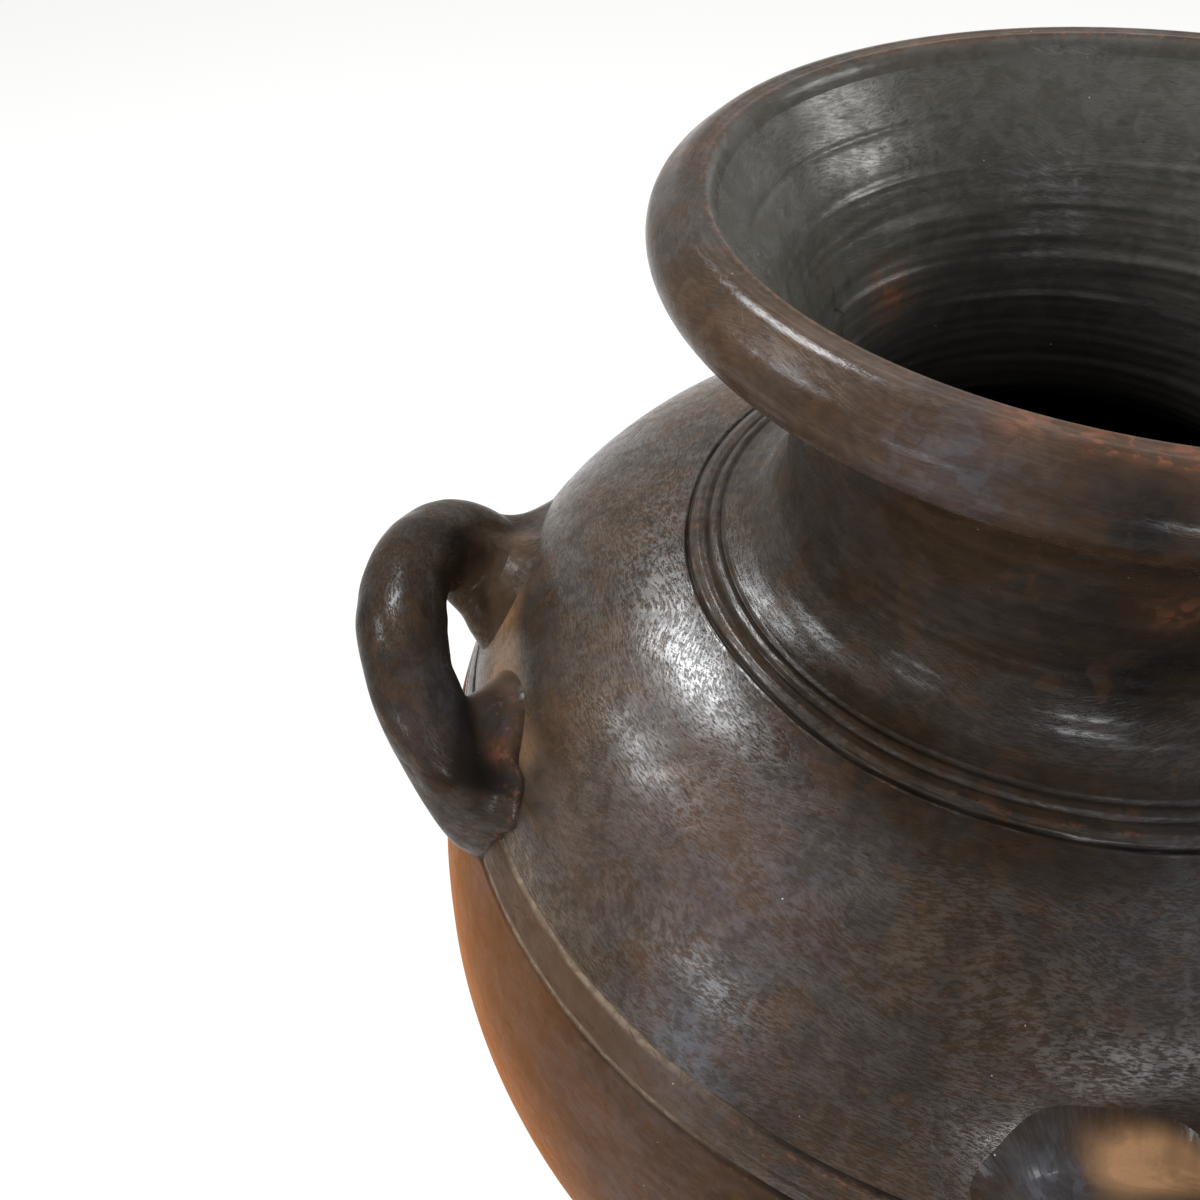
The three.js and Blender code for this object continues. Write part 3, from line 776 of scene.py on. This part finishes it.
def handle(name, degrees, differences, seed, material):
    """A coil handle with the wads round its feet: a circle carried along the coil's line. A place on it is
    x along the shoulder, s up it and a height off it. Near a foot the wad pushes it away from the foot's
    middle, with a fold on the side of the neck where the finger stopped, and draws it out to a tip."""
    sizes = settings("handles")
    outline = Outline()
    feet = [{**FOOT, **difference} for difference in differences]
    seat_run = outline.belly_lines[0] + sizes.seat
    seat_radius = outline.at(seat_run)[0]
    seat_out = outline.outward(seat_run)[0]
    faces = [math.atan2(*outline.outward(seat_run + step)) for step in (-SEAT_REACH, SEAT_REACH)]
    seat_bend = (faces[0] - faces[1]) / (2 * SEAT_REACH)
    line_x, line_s, line_h, tilt, girth = coil_line(sizes, np.random.default_rng(seed))
    first = line_x < 0
    side = np.where(first, -1.0, 1.0)
    near = [smooth(sign * line_x / sizes.half_span, 0.1, 1) for sign in (-1, 1)]

    def mixed(part):
        """A value of the nearer foot, which fades to 0 at the middle of the coil."""
        return sum(share * foot[part] for share, foot in zip(near, feet))

    def each(part):
        """A value of the nearer foot, which changes at the middle of the coil."""
        return np.where(first, *(foot[part] for foot in feet))

    turning = -np.arange(COIL_POINTS)[None, :] * TURN / COIL_POINTS
    steps = np.hypot(np.hypot(np.diff(line_x, axis=0), np.diff(line_s, axis=0)), np.diff(line_h, axis=0))
    along = np.concatenate([[[0]], np.cumsum(steps, axis=0)])
    lump = waves(seed + 5, turning, along, 3, (0.02, 0.08), 12)
    pinch = waves(seed + 6, turning, along, 7, (0.008, 0.03), 16)
    coil = sizes.coil_radius * girth * (1 - mixed("thin")) * (0.972 + 0.014 * lump + 0.004 * pinch)
    across = coil * np.cos(turning)
    x = across * np.cos(tilt)
    s = coil * np.sin(turning)
    height = line_h - across * np.sin(tilt)
    turned = np.arctan2(line_s + s, side * (line_x + x) - sizes.half_span)
    body = girth > 0.99
    below = np.clip(-np.sin(turning), 0, 1)
    tips = np.where(first, *(tongue(foot, below, height) for foot in feet)) * body
    folded, raised = fold(sizes, turned, height)
    uneven = 1 + 0.07 * waves(seed + 7, turned, side, 5, (3, 7), 6)
    pushed = np.where(first, *(wad_push(sizes, foot, turned, height) for foot in feet)) * uneven
    push = (pushed + each("fold") * folded) * body + 2 * np.clip(-height, 0, None)
    azimuth = math.radians(degrees) + (line_x + side * MM * mixed("aside")) / seat_radius + (
        x + side * push * np.cos(turned)) / (seat_radius + seat_out * height)
    climb = s + push * np.sin(turned) - tips
    run = seat_run + line_s + MM * mixed("higher") + climb / (1 + seat_bend * np.clip(height, 0, None))
    radius, level = outline.at(run)
    out_r, out_z = outline.outward(run)
    lift = height + wobble(outline, azimuth, run)
    reach = radius + out_r * lift
    grid = np.stack([reach * np.cos(azimuth), reach * np.sin(azimuth), level + out_z * lift], -1)
    mesh, used = closed_mesh("urn_" + name, grid, True)
    under = smooth(-np.cos(turned) + 0.45 * np.sin(turned), 0.0, 0.8) * (1 - smooth(height, 0.008, 0.026))
    joined = np.maximum(smooth(height, 0, 0.004), smooth(-np.cos(turned), 0.75, 0.95))
    # Painted shade in the hollow above the fold, between the coil and its ridge
    pressed = zone(turned, 0.8, 2.5, 0.5) * zone(height, 0.007, 0.02, 0.007)
    brink = bell(height, 0.0012, 0.0009) * zone(turned, 1.6, 3.0, 0.4) * first
    paint(
        mesh, used, grid, 0,
        (sizes.coil_radius * np.cos(turning), sizes.coil_radius * np.sin(turning), along + 0.31 * seed),
        foot=under * joined * each("bare"),
        deep=np.where(first, 0.15, 1.0) * pressed,
        edge=np.maximum(0.9 * each("fold") * raised, 0.12 * brink))
    show(mesh, [name, name + "_wad_a", name + "_wad_b"], material)


# Materials


def wire(tree, kind, inputs=None, **values):
    """Adds a node, sets its values and links or fills its inputs."""
    node = tree.nodes.new(kind)
    for key, value in values.items():
        setattr(node, key, value)
    for key, value in (inputs or {}).items():
        if isinstance(value, NodeSocket):
            tree.links.new(value, node.inputs[key])
        else:
            node.inputs[key].default_value = value
    return node


def calc(tree, operation, first, second=0.0, third=0.0, clamped=False):
    """The result of one Math node."""
    return wire(
        tree, "ShaderNodeMath", {0: first, 1: second, 2: third}, operation=operation,
        use_clamp=clamped).outputs[0]


def calc_places(tree, operation, first, second, output="Vector"):
    """The result of one Vector Math node."""
    return wire(tree, "ShaderNodeVectorMath", {0: first, 1: second}, operation=operation).outputs[output]


def summed(tree, start, parts):
    """A sum that starts at a value and takes each mask times its weight."""
    for value, weight in parts:
        start = calc(tree, "MULTIPLY_ADD", value, weight, start)
    return start


def between(tree, value, low, high, start=0.0, end=1.0):
    """A value moved smoothly from one range to another, and held at its ends."""
    return wire(tree, "ShaderNodeMapRange", {
        "Value": value, "From Min": low, "From Max": high, "To Min": start, "To Max": end,
    }, interpolation_type="SMOOTHSTEP").outputs[0]


def noise(tree, place, scale, detail=2.0, **more):
    """The values of a noise texture."""
    inputs = {"Vector": place, "Scale": scale, "Detail": detail, **more}
    return wire(tree, "ShaderNodeTexNoise", inputs).outputs["Fac"]


def blend(tree, share, first, second):
    """A mix of two colours."""
    tones = (tone if isinstance(tone, NodeSocket) else (*tone, 1) for tone in (first, second))
    return wire(tree, "ShaderNodeMix", dict(zip((0, 6, 7), (share, *tones))), data_type="RGBA").outputs[2]


def layered(tree, tone, layers):
    """Colours laid over each other, each with the factors that multiply to its strength."""
    for colour_on_top, strength, *factors in layers:
        for factor in factors:
            strength = calc(tree, "MULTIPLY", strength, factor)
        tone = blend(tree, strength, tone, colour_on_top)
    return tone


def attribute(tree, name, output="Fac"):
    """What the mesh carries under a name for each of its points."""
    return wire(tree, "ShaderNodeAttribute", attribute_name=name).outputs[output]


def new_group(name, inputs, outputs):
    """An empty node group into which go a place and some numbers, and out of which come masks, with its
    input and output nodes."""
    group = bpy.data.node_groups.new(name, "ShaderNodeTree")
    new_socket = group.interface.new_socket
    new_socket("Place", in_out="INPUT", socket_type="NodeSocketVector")
    for label, default in inputs.items():
        new_socket(label, in_out="INPUT", socket_type="NodeSocketFloat").default_value = default
    for label in outputs:
        new_socket(label, in_out="OUTPUT", socket_type="NodeSocketFloat")
    return group, group.nodes.new("NodeGroupInput").outputs, group.nodes.new("NodeGroupOutput").inputs


def strokes_group(name):
    """Burnishing strokes: noise drawn out along one direction, so that a stone's short marks lie side by
    side. Two sets are turned opposite ways by a slow sway, and cross each other at low angles."""
    group, given, out = new_group(name, {"Width": 0.0015, "Stretch": 6.0}, ("Marks", "Bundles", "Cuts"))
    per_width = calc(group, "DIVIDE", 1.0, given["Width"])
    per_length = calc(group, "DIVIDE", per_width, given["Stretch"])
    stretch = wire(group, "ShaderNodeCombineXYZ", {0: per_length, 1: per_length, 2: per_width}).outputs[0]
    sway = wire(group, "ShaderNodeTexNoise", {"Vector": given["Place"], "Scale": 17.0, "Detail": 0.5})
    sway = calc_places(group, "SUBTRACT", sway.outputs["Color"], (0.5, 0.5, 0.5))
    fields = []
    sets = ((0.042, 1.0, 3.0), (-0.030, 1.3, 3.0), (0.026, 0.27, 2.0), (-0.042, 0.55, 1.0))
    for reach, scale, detail in sets:
        swayed = calc_places(group, "ADD", given["Place"], calc_places(group, "MULTIPLY", sway, (reach,) * 3))
        drawn = calc_places(group, "MULTIPLY", swayed, stretch)
        fields.append(noise(group, drawn, scale, detail, Roughness=0.6))
    first = between(group, fields[0], 0.40, 0.64)
    second = calc(group, "MULTIPLY", between(group, fields[1], 0.44, 0.66), 0.8)
    group.links.new(calc(group, "MAXIMUM", first, second), out["Marks"])
    group.links.new(between(group, fields[2], 0.36, 0.64), out["Bundles"])
    group.links.new(between(group, fields[3], 0.66, 0.72), out["Cuts"])
    return group


def grains_group(name):
    """Grains in the clay: a few of the cells of a pattern, drawn as dots, with a share of them kept."""
    group, given, out = new_group(name, {"Spacing": 0.004, "Share": 0.2, "Size": 0.1}, ("Dots",))
    scale = calc(group, "DIVIDE", 1.0, given["Spacing"])
    cells = wire(group, "ShaderNodeTexVoronoi", {"Vector": given["Place"], "Scale": scale})
    pick = wire(group, "ShaderNodeSeparateColor", {"Color": cells.outputs["Color"]})
    kept = calc(group, "LESS_THAN", pick.outputs["Red"], given["Share"])
    size = calc(group, "MULTIPLY", given["Size"], calc(group, "ADD", 0.4, pick.outputs["Green"]))
    dot = calc(group, "SUBTRACT", 1.0, calc(group, "DIVIDE", cells.outputs["Distance"], size))
    dot = calc(group, "MULTIPLY", dot, 1.6, clamped=True)
    group.links.new(calc(group, "MULTIPLY", dot, kept), out["Dots"])
    return group


def patches_group(name):
    """Fire clouds: soft blots with ragged edges, from slow noise whose place is stirred by finer noise."""
    group, given, out = new_group(name, {"Scale": 8.0, "Level": 0.5, "Edge": 0.12}, ("Cloud",))
    stirred = noise(group, given["Place"], given["Scale"], 5.0, Roughness=0.55, Distortion=0.6)
    low = calc(group, "SUBTRACT", given["Level"], given["Edge"])
    high = calc(group, "ADD", given["Level"], given["Edge"])
    group.links.new(between(group, stirred, low, high), out["Cloud"])
    return group


GROUP_MAKERS = {
    "Burnishing strokes": strokes_group, "Clay grains": grains_group, "Fire clouds": patches_group}


def use(tree, name, place, **inputs):
    """Places a node group, which is made once and then found by its name, and gives its outputs."""
    group = bpy.data.node_groups.get(name) or GROUP_MAKERS[name](name)
    return wire(tree, "ShaderNodeGroup", {"Place": place, **inputs}, node_tree=group).outputs


def crack(tree, wrap):
    """A thin upright crack inside the neck, which wanders as it falls and is 1 along its middle."""
    stir = noise(tree, wrap, 160.0, 3.0)
    turned = math.radians(CRACK_AZIMUTH)
    side = calc_places(tree, "DOT_PRODUCT", wrap, (-math.sin(turned), math.cos(turned), 0), "Value")
    off = calc(tree, "ABSOLUTE", summed(tree, side, [(calc(tree, "SUBTRACT", stir, 0.5), 0.012)]))
    middle = Outline().marks["funnel"] + CRACK_DEPTH
    parts = wire(tree, "ShaderNodeSeparateXYZ", {0: wrap})
    above = calc(tree, "SUBTRACT", parts.outputs["Z"], middle)
    length = between(tree, calc(tree, "ABSOLUTE", above), 0.017, 0.008)
    here = calc(tree, "LESS_THAN", parts.outputs["X"], 0.0)
    return calc(tree, "MULTIPLY", calc(tree, "MULTIPLY", between(tree, off, 0.0006, 0.0001), length), here)


def clay(name, stroke_width=0.0005, stretch=5.0, roughness=0.36, brownness=0.5, shine=0.4, polish=0.0,
         sheen_breaks=1.0, scratches=1.0, cracked=False):
    """Smoked and burnished clay. Ash, brown and soot lie in clouds over the smoked colour, and tan shows
    round the handle feet. The clay itself has little shine: where the burnishing stone rubbed it hard, a
    polish lies on it like a coat, in streaks that follow the strokes."""
    found = bpy.data.materials.get(name)
    if found:
        return found
    tones = settings("colours")
    material = bpy.data.materials.new(name)
    material.use_nodes = True
    tree = material.node_tree
    shader = tree.nodes["Principled BSDF"]
    place = wire(tree, "ShaderNodeTexCoord").outputs["Object"]
    wrap = attribute(tree, "wrap", "Vector")
    foot, inside, deep, groove_shade_and_dust, chalk, edge, smudge_and_shade, bluish_patch_and_sheen, flash_and_bounce_glow, rust_and_red_glint = (
        attribute(tree, layer) for layer in LAYERS)

    def clouds(where, scale, level, edge_width):
        return use(tree, "Fire clouds", where, Scale=scale, Level=level, Edge=edge_width)[0]

    def dots(spacing, share, size):
        return use(tree, "Clay grains", place, Spacing=spacing, Share=share, Size=size)[0]

    strokes = use(tree, "Burnishing strokes", wrap, Width=stroke_width, Stretch=stretch)
    marks, bundles, cuts = (strokes[part] for part in ("Marks", "Bundles", "Cuts"))
    slow = clouds(place, 8.0, 0.52, 0.12)
    ragged = clouds(place, 34.0, 0.5, 0.06)
    flakes = clouds(wrap, 240.0, 0.52, 0.06)
    mottle = clouds(place, 130.0, 0.5, 0.1)
    scuffed = clouds(wrap, 75.0, 0.58, 0.05)
    light_dots = dots(0.0040, 0.12, 0.055)
    dark_pits = dots(0.0050, 0.2, 0.07)
    nicks = between(tree, noise(tree, place, 420.0), 0.56, 0.64)
    grain = noise(tree, place, 1700.0)
    pillows = noise(tree, wrap, 120.0)
    tone = layered(tree, tones.smoked, [
        (tones.brown, slow, brownness),
        (tones.ash, ragged, 0.2),
        (tones.soot_and_shade, mottle, 0.3),
        # Painted bluish sheen and highlights, with bluish grey patches of the clay
        (tones.sheen_slate, bluish_patch_and_sheen, summed(tree, 0.3, [(flakes, 0.4), (marks, 0.15)])),
        # Soot smudges, and painted shade under the lip and round the neck
        (tones.soot_and_shade, smudge_and_shade, summed(tree, 0.45, [(ragged, 0.2), (flakes, 0.15), (marks, 0.15)])),
        (tones.brown, scuffed, summed(tree, 0.08, [(mottle, 0.25)]), sheen_breaks),
        (tones.soot_and_shade, bundles, 0.18),
        # Painted warm bounce light low on the left, with a few fire-flashed patches
        (tones.glow_amber, flash_and_bounce_glow, summed(tree, 0.66, [(slow, 0.2), (bundles, 0.06)])),
        (tones.tan, foot, summed(tree, 0.4, [(bundles, 0.2), (ragged, 0.3)])),
        (tones.funnel, inside, summed(tree, 0.8, [(mottle, -0.25)])),
        # Painted shade deep in the neck and in the hollows of the handle wads
        (tones.soot_and_shade, deep, 0.75),
        # Rust spots, and a painted warm highlight along the lip's front crest
        (tones.rust, rust_and_red_glint, summed(tree, 0.1, [(flakes, 0.45), (mottle, 0.3)])),
        # Rust nicks of wear, with painted warm light on the lip's front crest and the belly lines' lower
        # burrs
        (tones.rust, edge, nicks, 0.5),
        # Painted shade in the incised lines, less where chalk dust fills the shallow ones
        (tones.soot_and_shade, groove_shade_and_dust, summed(tree, 0.9, [(chalk, -0.8)])),
        (tones.brown, chalk, 0.5),
        (tones.chalk, groove_shade_and_dust, chalk, summed(tree, 0.4, [(flakes, 0.3)])),
        (tones.soot_and_shade, cuts, 0.4 * scratches),
        (tones.soot_and_shade, grain, 0.25),
        (tones.fleck, light_dots, 0.65),
        (tones.soot_and_shade, dark_pits, 0.7),
    ])
    if cracked:
        tone = blend(tree, crack(tree, wrap), tone, tones.soot_and_shade)
    rough = summed(tree, roughness - 0.12, [
        (marks, 0.15 * sheen_breaks), (bundles, 0.06 * sheen_breaks), (flakes, 0.08 * sheen_breaks),
        (scuffed, 0.08 * sheen_breaks), (mottle, 0.06), (ragged, -0.04), (grain, 0.08),
        (cuts, 0.2 * scratches), (foot, 0.2), (groove_shade_and_dust, 0.3), (chalk, 0.25), (deep, 0.25),
        (rust_and_red_glint, 0.2), (bluish_patch_and_sheen, -0.05)])
    height = summed(tree, 0.0, [
        (marks, 0.000022 * sheen_breaks), (bundles, 0.00003 * sheen_breaks), (flakes, 0.00003 * sheen_breaks),
        (grain, 0.00001), (pillows, 0.00006), (cuts, -0.00005 * scratches), (light_dots, 0.00005),
        (dark_pits, -0.00012)])
    bump = wire(tree, "ShaderNodeBump", {"Height": height, "Distance": 1.0, "Strength": 1.0})
    shader.inputs["Specular IOR Level"].default_value = shine
    tree.links.new(tone, shader.inputs["Base Color"])
    tree.links.new(rough, shader.inputs["Roughness"])
    tree.links.new(bump.outputs["Normal"], shader.inputs["Normal"])
    if polish:
        hard = between(tree, summed(tree, 0.0, [(marks, 0.8), (flakes, 0.2)]), 0.25, 0.75, 0.0, polish)
        dull = summed(tree, 0.0, [(foot, 1.0), (groove_shade_and_dust, 1.0), (deep, 1.0), (chalk, 0.9), (mottle, 0.4)])
        coat = calc(tree, "MULTIPLY", hard, calc(tree, "SUBTRACT", 1.0, dull), clamped=True)
        tree.links.new(coat, shader.inputs["Coat Weight"])
        shader.inputs["Coat Roughness"].default_value = 0.24
    return material


def seen_directly(tree):
    """1 for camera, glossy and transmission rays, and 0 for those that carry diffuse light."""
    path = wire(tree, "ShaderNodeLightPath").outputs
    total = calc(tree, "ADD", path["Is Camera Ray"], path["Is Glossy Ray"])
    return calc(tree, "ADD", total, path["Is Transmission Ray"], clamped=True)


def floor_material():
    """A pale matt floor. Camera, glossy and transmission rays see most of it as plain white, and the
    rest keeps the urn's shadow."""
    material = bpy.data.materials.new("Pale floor")
    material.use_nodes = True
    tree = material.node_tree
    shader = tree.nodes["Principled BSDF"]
    shader.inputs["Base Color"].default_value = (*linear(*FLOOR_COLOUR), 1)
    shader.inputs["Roughness"].default_value = 0.9
    shader.inputs["Specular IOR Level"].default_value = 0
    white = wire(tree, "ShaderNodeEmission", {"Strength": 1.0})
    share = calc(tree, "MULTIPLY", seen_directly(tree), 0.86)
    mix = wire(tree, "ShaderNodeMixShader", {0: share, 1: shader.outputs[0], 2: white.outputs[0]})
    tree.links.new(mix.outputs[0], tree.nodes["Material Output"].inputs["Surface"])
    return material


# Stage


def make_world():
    """A soft grey light from all round, which camera, glossy and transmission rays see as white."""
    world = bpy.data.worlds.new("Soft studio")
    bpy.context.scene.world = world
    world.use_nodes = True
    tree = world.node_tree
    tree.nodes.clear()
    grey, white = (
        wire(tree, "ShaderNodeBackground", {"Color": (1, 1, 1, 1), "Strength": strength}).outputs[0]
        for strength in (settings("stage").world_level, 1.0))
    mix = wire(tree, "ShaderNodeMixShader", {0: seen_directly(tree), 1: grey, 2: white})
    wire(tree, "ShaderNodeOutputWorld", {"Surface": mix.outputs[0]})


def add_lamp(name, azimuth, elevation, away, size, power, tint, aim=0.3):
    """A soft rectangular lamp that stands in a direction in degrees from a height on the urn's axis, and
    faces it."""
    light = bpy.data.lights.new(name, "AREA")
    light.shape = "RECTANGLE"
    light.size, light.size_y = size
    light.energy = power
    light.color = tint
    across, up = math.radians(azimuth), math.radians(elevation)
    direction = Vector((math.cos(up) * math.cos(across), math.cos(up) * math.sin(across), math.sin(up)))
    turned = direction.to_track_quat("Z", "Y").to_matrix().to_4x4()
    link(name, light).matrix_world = Matrix.Translation(Vector((0, 0, aim)) + away * direction) @ turned


def add_camera():
    """The camera of the picture, turned right by its pan, down by its tilt and then about its own axis."""
    stage = settings("stage")
    data = bpy.data.cameras.new("Camera")
    data.lens = stage.camera_lens
    data.sensor_width = 36
    data.clip_start = 0.01
    camera = link("Camera", data)
    pan = Matrix.Rotation(-stage.camera_pan, 4, "Z")
    tilt = Matrix.Rotation(math.pi / 2 - stage.camera_tilt, 4, "X")
    roll = Matrix.Rotation(stage.camera_roll, 4, "Z")
    camera.matrix_world = Matrix.Translation(Vector(stage.camera_place)) @ pan @ tilt @ roll
    bpy.context.scene.camera = camera


def add_floor(circles=11, columns=96):
    """A flat round floor, as circles of points that lie closer together near the middle: their radii are
    floor radius x share^2. A polygon closes the smallest circle."""
    stage = settings("stage")
    reach = stage.floor_radius * np.linspace(0, 1, circles + 1)[1:, None] ** 2
    turn = np.arange(columns) * TURN / columns
    level = np.full((circles, columns), -stage.floor_drop)
    points = np.stack([reach * np.cos(turn), reach * np.sin(turn), level], -1).reshape(-1, 3)
    index = np.arange(len(points)).reshape(circles, columns)
    inner, outer = index[:-1], index[1:]
    quads = np.stack([inner, outer, np.roll(outer, -1, 1), np.roll(inner, -1, 1)], -1).reshape(-1, 4)
    mesh = bpy.data.meshes.new("floor")
    mesh.from_pydata(points.tolist(), [], quads.tolist() + [index[0].tolist()])
    mesh.materials.append(floor_material())
    link("floor", mesh)


# Operators


class URN_OT_base(Operator):
    """Add the thick flat base with its turned-up edge"""

    bl_idname = "urn.base"
    bl_label = "Base"
    bl_options = {"REGISTER", "UNDO"}

    def execute(self, context):
        end = Outline().marks["lower"] + settings("lines").base_seam
        material = clay("Base clay", roughness=0.5, brownness=0.8, shine=0.12)
        section("base", material, 0, end, columns=256, step=0.0015, inner_step=0.006)
        return {"FINISHED"}


class URN_OT_lower_body(Operator):
    """Add the lower bowl, from the base to the belly band"""

    bl_idname = "urn.lower_body"
    bl_label = "Lower body"
    bl_options = {"REGISTER", "UNDO"}

    def execute(self, context):
        outline = Outline()
        start = outline.marks["lower"] + settings("lines").base_seam
        end = outline.belly_lines[0]
        material = clay(
            "Lower body clay", roughness=0.44, brownness=0.7, shine=0.01, polish=0.08, scratches=0.3)
        section(
            "lower_body", material, start, end, columns=448, step=0.0021, inner_step=0.006,
            fine=[(end, 0.0035, 0.00025)])
        return {"FINISHED"}


class URN_OT_shoulder(Operator):
    """Add the shoulder, from the belly band to the neck"""

    bl_idname = "urn.shoulder"
    bl_label = "Shoulder"
    bl_options = {"REGISTER", "UNDO"}

    def execute(self, context):
        outline = Outline()
        start, end = outline.belly_lines[0], outline.ring_lines[0]
        width = settings("lines").band_width
        fine = [(start + width * share, 0.0034, 0.00026) for share in (0, 0.4, 1)]
        material = clay("Shoulder clay", roughness=0.16, brownness=0.65, shine=0.08, polish=0.6)
        section(
            "shoulder", material, start, end, columns=448, step=0.0015, inner_step=0.006,
            fine=[*fine, (end, 0.003, 0.00022)])
        return {"FINISHED"}


class URN_OT_neck(Operator):
    """Add the waisted neck with the raised rings at its foot"""

    bl_idname = "urn.neck"
    bl_label = "Neck"
    bl_options = {"REGISTER", "UNDO"}

    def execute(self, context):
        marks = Outline().marks
        start, end = marks["rings"], marks["roll"]
        half = (marks["turn"] - marks["funnel"]) / 2
        material = clay(
            "Neck clay", stretch=8.0, roughness=0.21, brownness=0.15, shine=0.08, polish=0.3,
            sheen_breaks=0.9, scratches=0.6, cracked=True)
        section(
            "neck", material, start, end, columns=320, step=0.0014, inner_step=0.003,
            fine=[(start + 0.006, 0.0075, 0.0002), (end, 0.002, 0.0004)],
            inner_fine=[(marks["funnel"] + half, half + 0.01, 0.00076)])
        return {"FINISHED"}


class URN_OT_rim(Operator):
    """Add the coil that is rolled over the top of the neck"""

    bl_idname = "urn.rim"
    bl_label = "Rim"
    bl_options = {"REGISTER", "UNDO"}

    def execute(self, context):
        marks = Outline().marks
        material = clay(
            "Rim clay", stretch=9.0, roughness=0.22, brownness=0.8, shine=0.06, polish=0.2, sheen_breaks=0.5,
            scratches=0.3)
        section(
            "rim", material, marks["roll"], marks["funnel"], columns=320, step=0.00045,
            inner_step=0.001)
        return {"FINISHED"}


class URN_OT_handles(Operator):
    """Add the four coil handles with the wads of clay round their feet"""

    bl_idname = "urn.handles"
    bl_label = "Handles"
    bl_options = {"REGISTER", "UNDO"}

    def execute(self, context):
        material = clay(
            "Handle clay", stroke_width=0.0028, stretch=0.25, roughness=0.24, brownness=0.2, shine=0.02,
            polish=0.26, sheen_breaks=0.8, scratches=0.0)
        for seed, (place, degrees) in enumerate(HANDLES.items(), 11):
            handle("handle_" + place, degrees, FEET[place], seed, material)
        return {"FINISHED"}


class URN_OT_stage(Operator):
    """Add the pale floor, the soft studio light and the camera"""

    bl_idname = "urn.stage"
    bl_label = "Stage"
    bl_options = {"REGISTER", "UNDO"}

    # Name, azimuth and elevation in degrees, distance, width and height, power, tint, and height aimed at
    LAMPS = (
        ("Window", 121, 54, 1.6, (0.5, 0.38), 36, (0.93, 0.97, 1.0)),
        ("Second window", 166, 39, 1.8, (0.45, 0.4), 16, (0.95, 0.98, 1.0)),
        ("Low window", 212, 11, 1.8, (0.4, 0.3), 5, (0.85, 0.93, 1.0)),
        ("Side light", 2, 31, 1.8, (0.6, 0.4), 20, (1.0, 0.99, 0.97)),
        ("Front light", 282, 34, 1.8, (0.6, 0.5), 5, (0.96, 0.98, 1.0)),
        ("Low front window", 266, 7, 1.8, (0.46, 0.34), 13, (0.98, 0.98, 1.0)),
        ("Warm bounce", 192, -9, 0.62, (0.5, 0.1), 0.3, (1.0, 0.55, 0.18), 0.14),
    )

    def execute(self, context):
        bpy.context.scene.view_settings.view_transform = "Standard"
        make_world()
        for lamp in self.LAMPS:
            add_lamp(*lamp)
        add_camera()
        add_floor()
        return {"FINISHED"}


class URN_PT_panel(Panel):
    """Lists the urn's sections, sizes and colours"""

    bl_idname = "URN_PT_panel"
    bl_label = "Burnished Urn"
    bl_space_type = "VIEW_3D"
    bl_region_type = "UI"
    bl_category = "Urn"

    def draw(self, context):
        column = self.layout.column()
        for operator in OPERATORS:
            column.operator(operator.bl_idname)
        for name in GROUPS:
            group = settings(name)
            box = self.layout.box()
            box.label(text=name.capitalize())
            for key in group.bl_rna.properties.keys():
                if key not in {"rna_type", "name"}:
                    box.prop(group, key)


OPERATORS = (
    URN_OT_stage, URN_OT_base, URN_OT_lower_body, URN_OT_shoulder, URN_OT_neck, URN_OT_rim, URN_OT_handles)
GROUPS = {
    "vessel": UrnVesselSizes,
    "lines": UrnLineSizes,
    "handles": UrnHandleSizes,
    "colours": UrnClayColours,
    "stage": UrnStageSizes,
}


def register():
    for group in GROUPS.values():
        bpy.utils.register_class(group)
    for cls in (*OPERATORS, URN_PT_panel):
        bpy.utils.register_class(cls)
    for name, group in GROUPS.items():
        setattr(bpy.types.Scene, "urn_" + name, PointerProperty(type=group))


def unregister():
    for name in GROUPS:
        delattr(bpy.types.Scene, "urn_" + name)
    for cls in (URN_PT_panel, *reversed(OPERATORS)):
        bpy.utils.unregister_class(cls)
    for group in reversed(GROUPS.values()):
        bpy.utils.unregister_class(group)


def main():
    register()
    for operator in OPERATORS:
        family, action = operator.bl_idname.split(".")
        getattr(getattr(bpy.ops, family), action)()


if __name__ == "__main__":
    main()
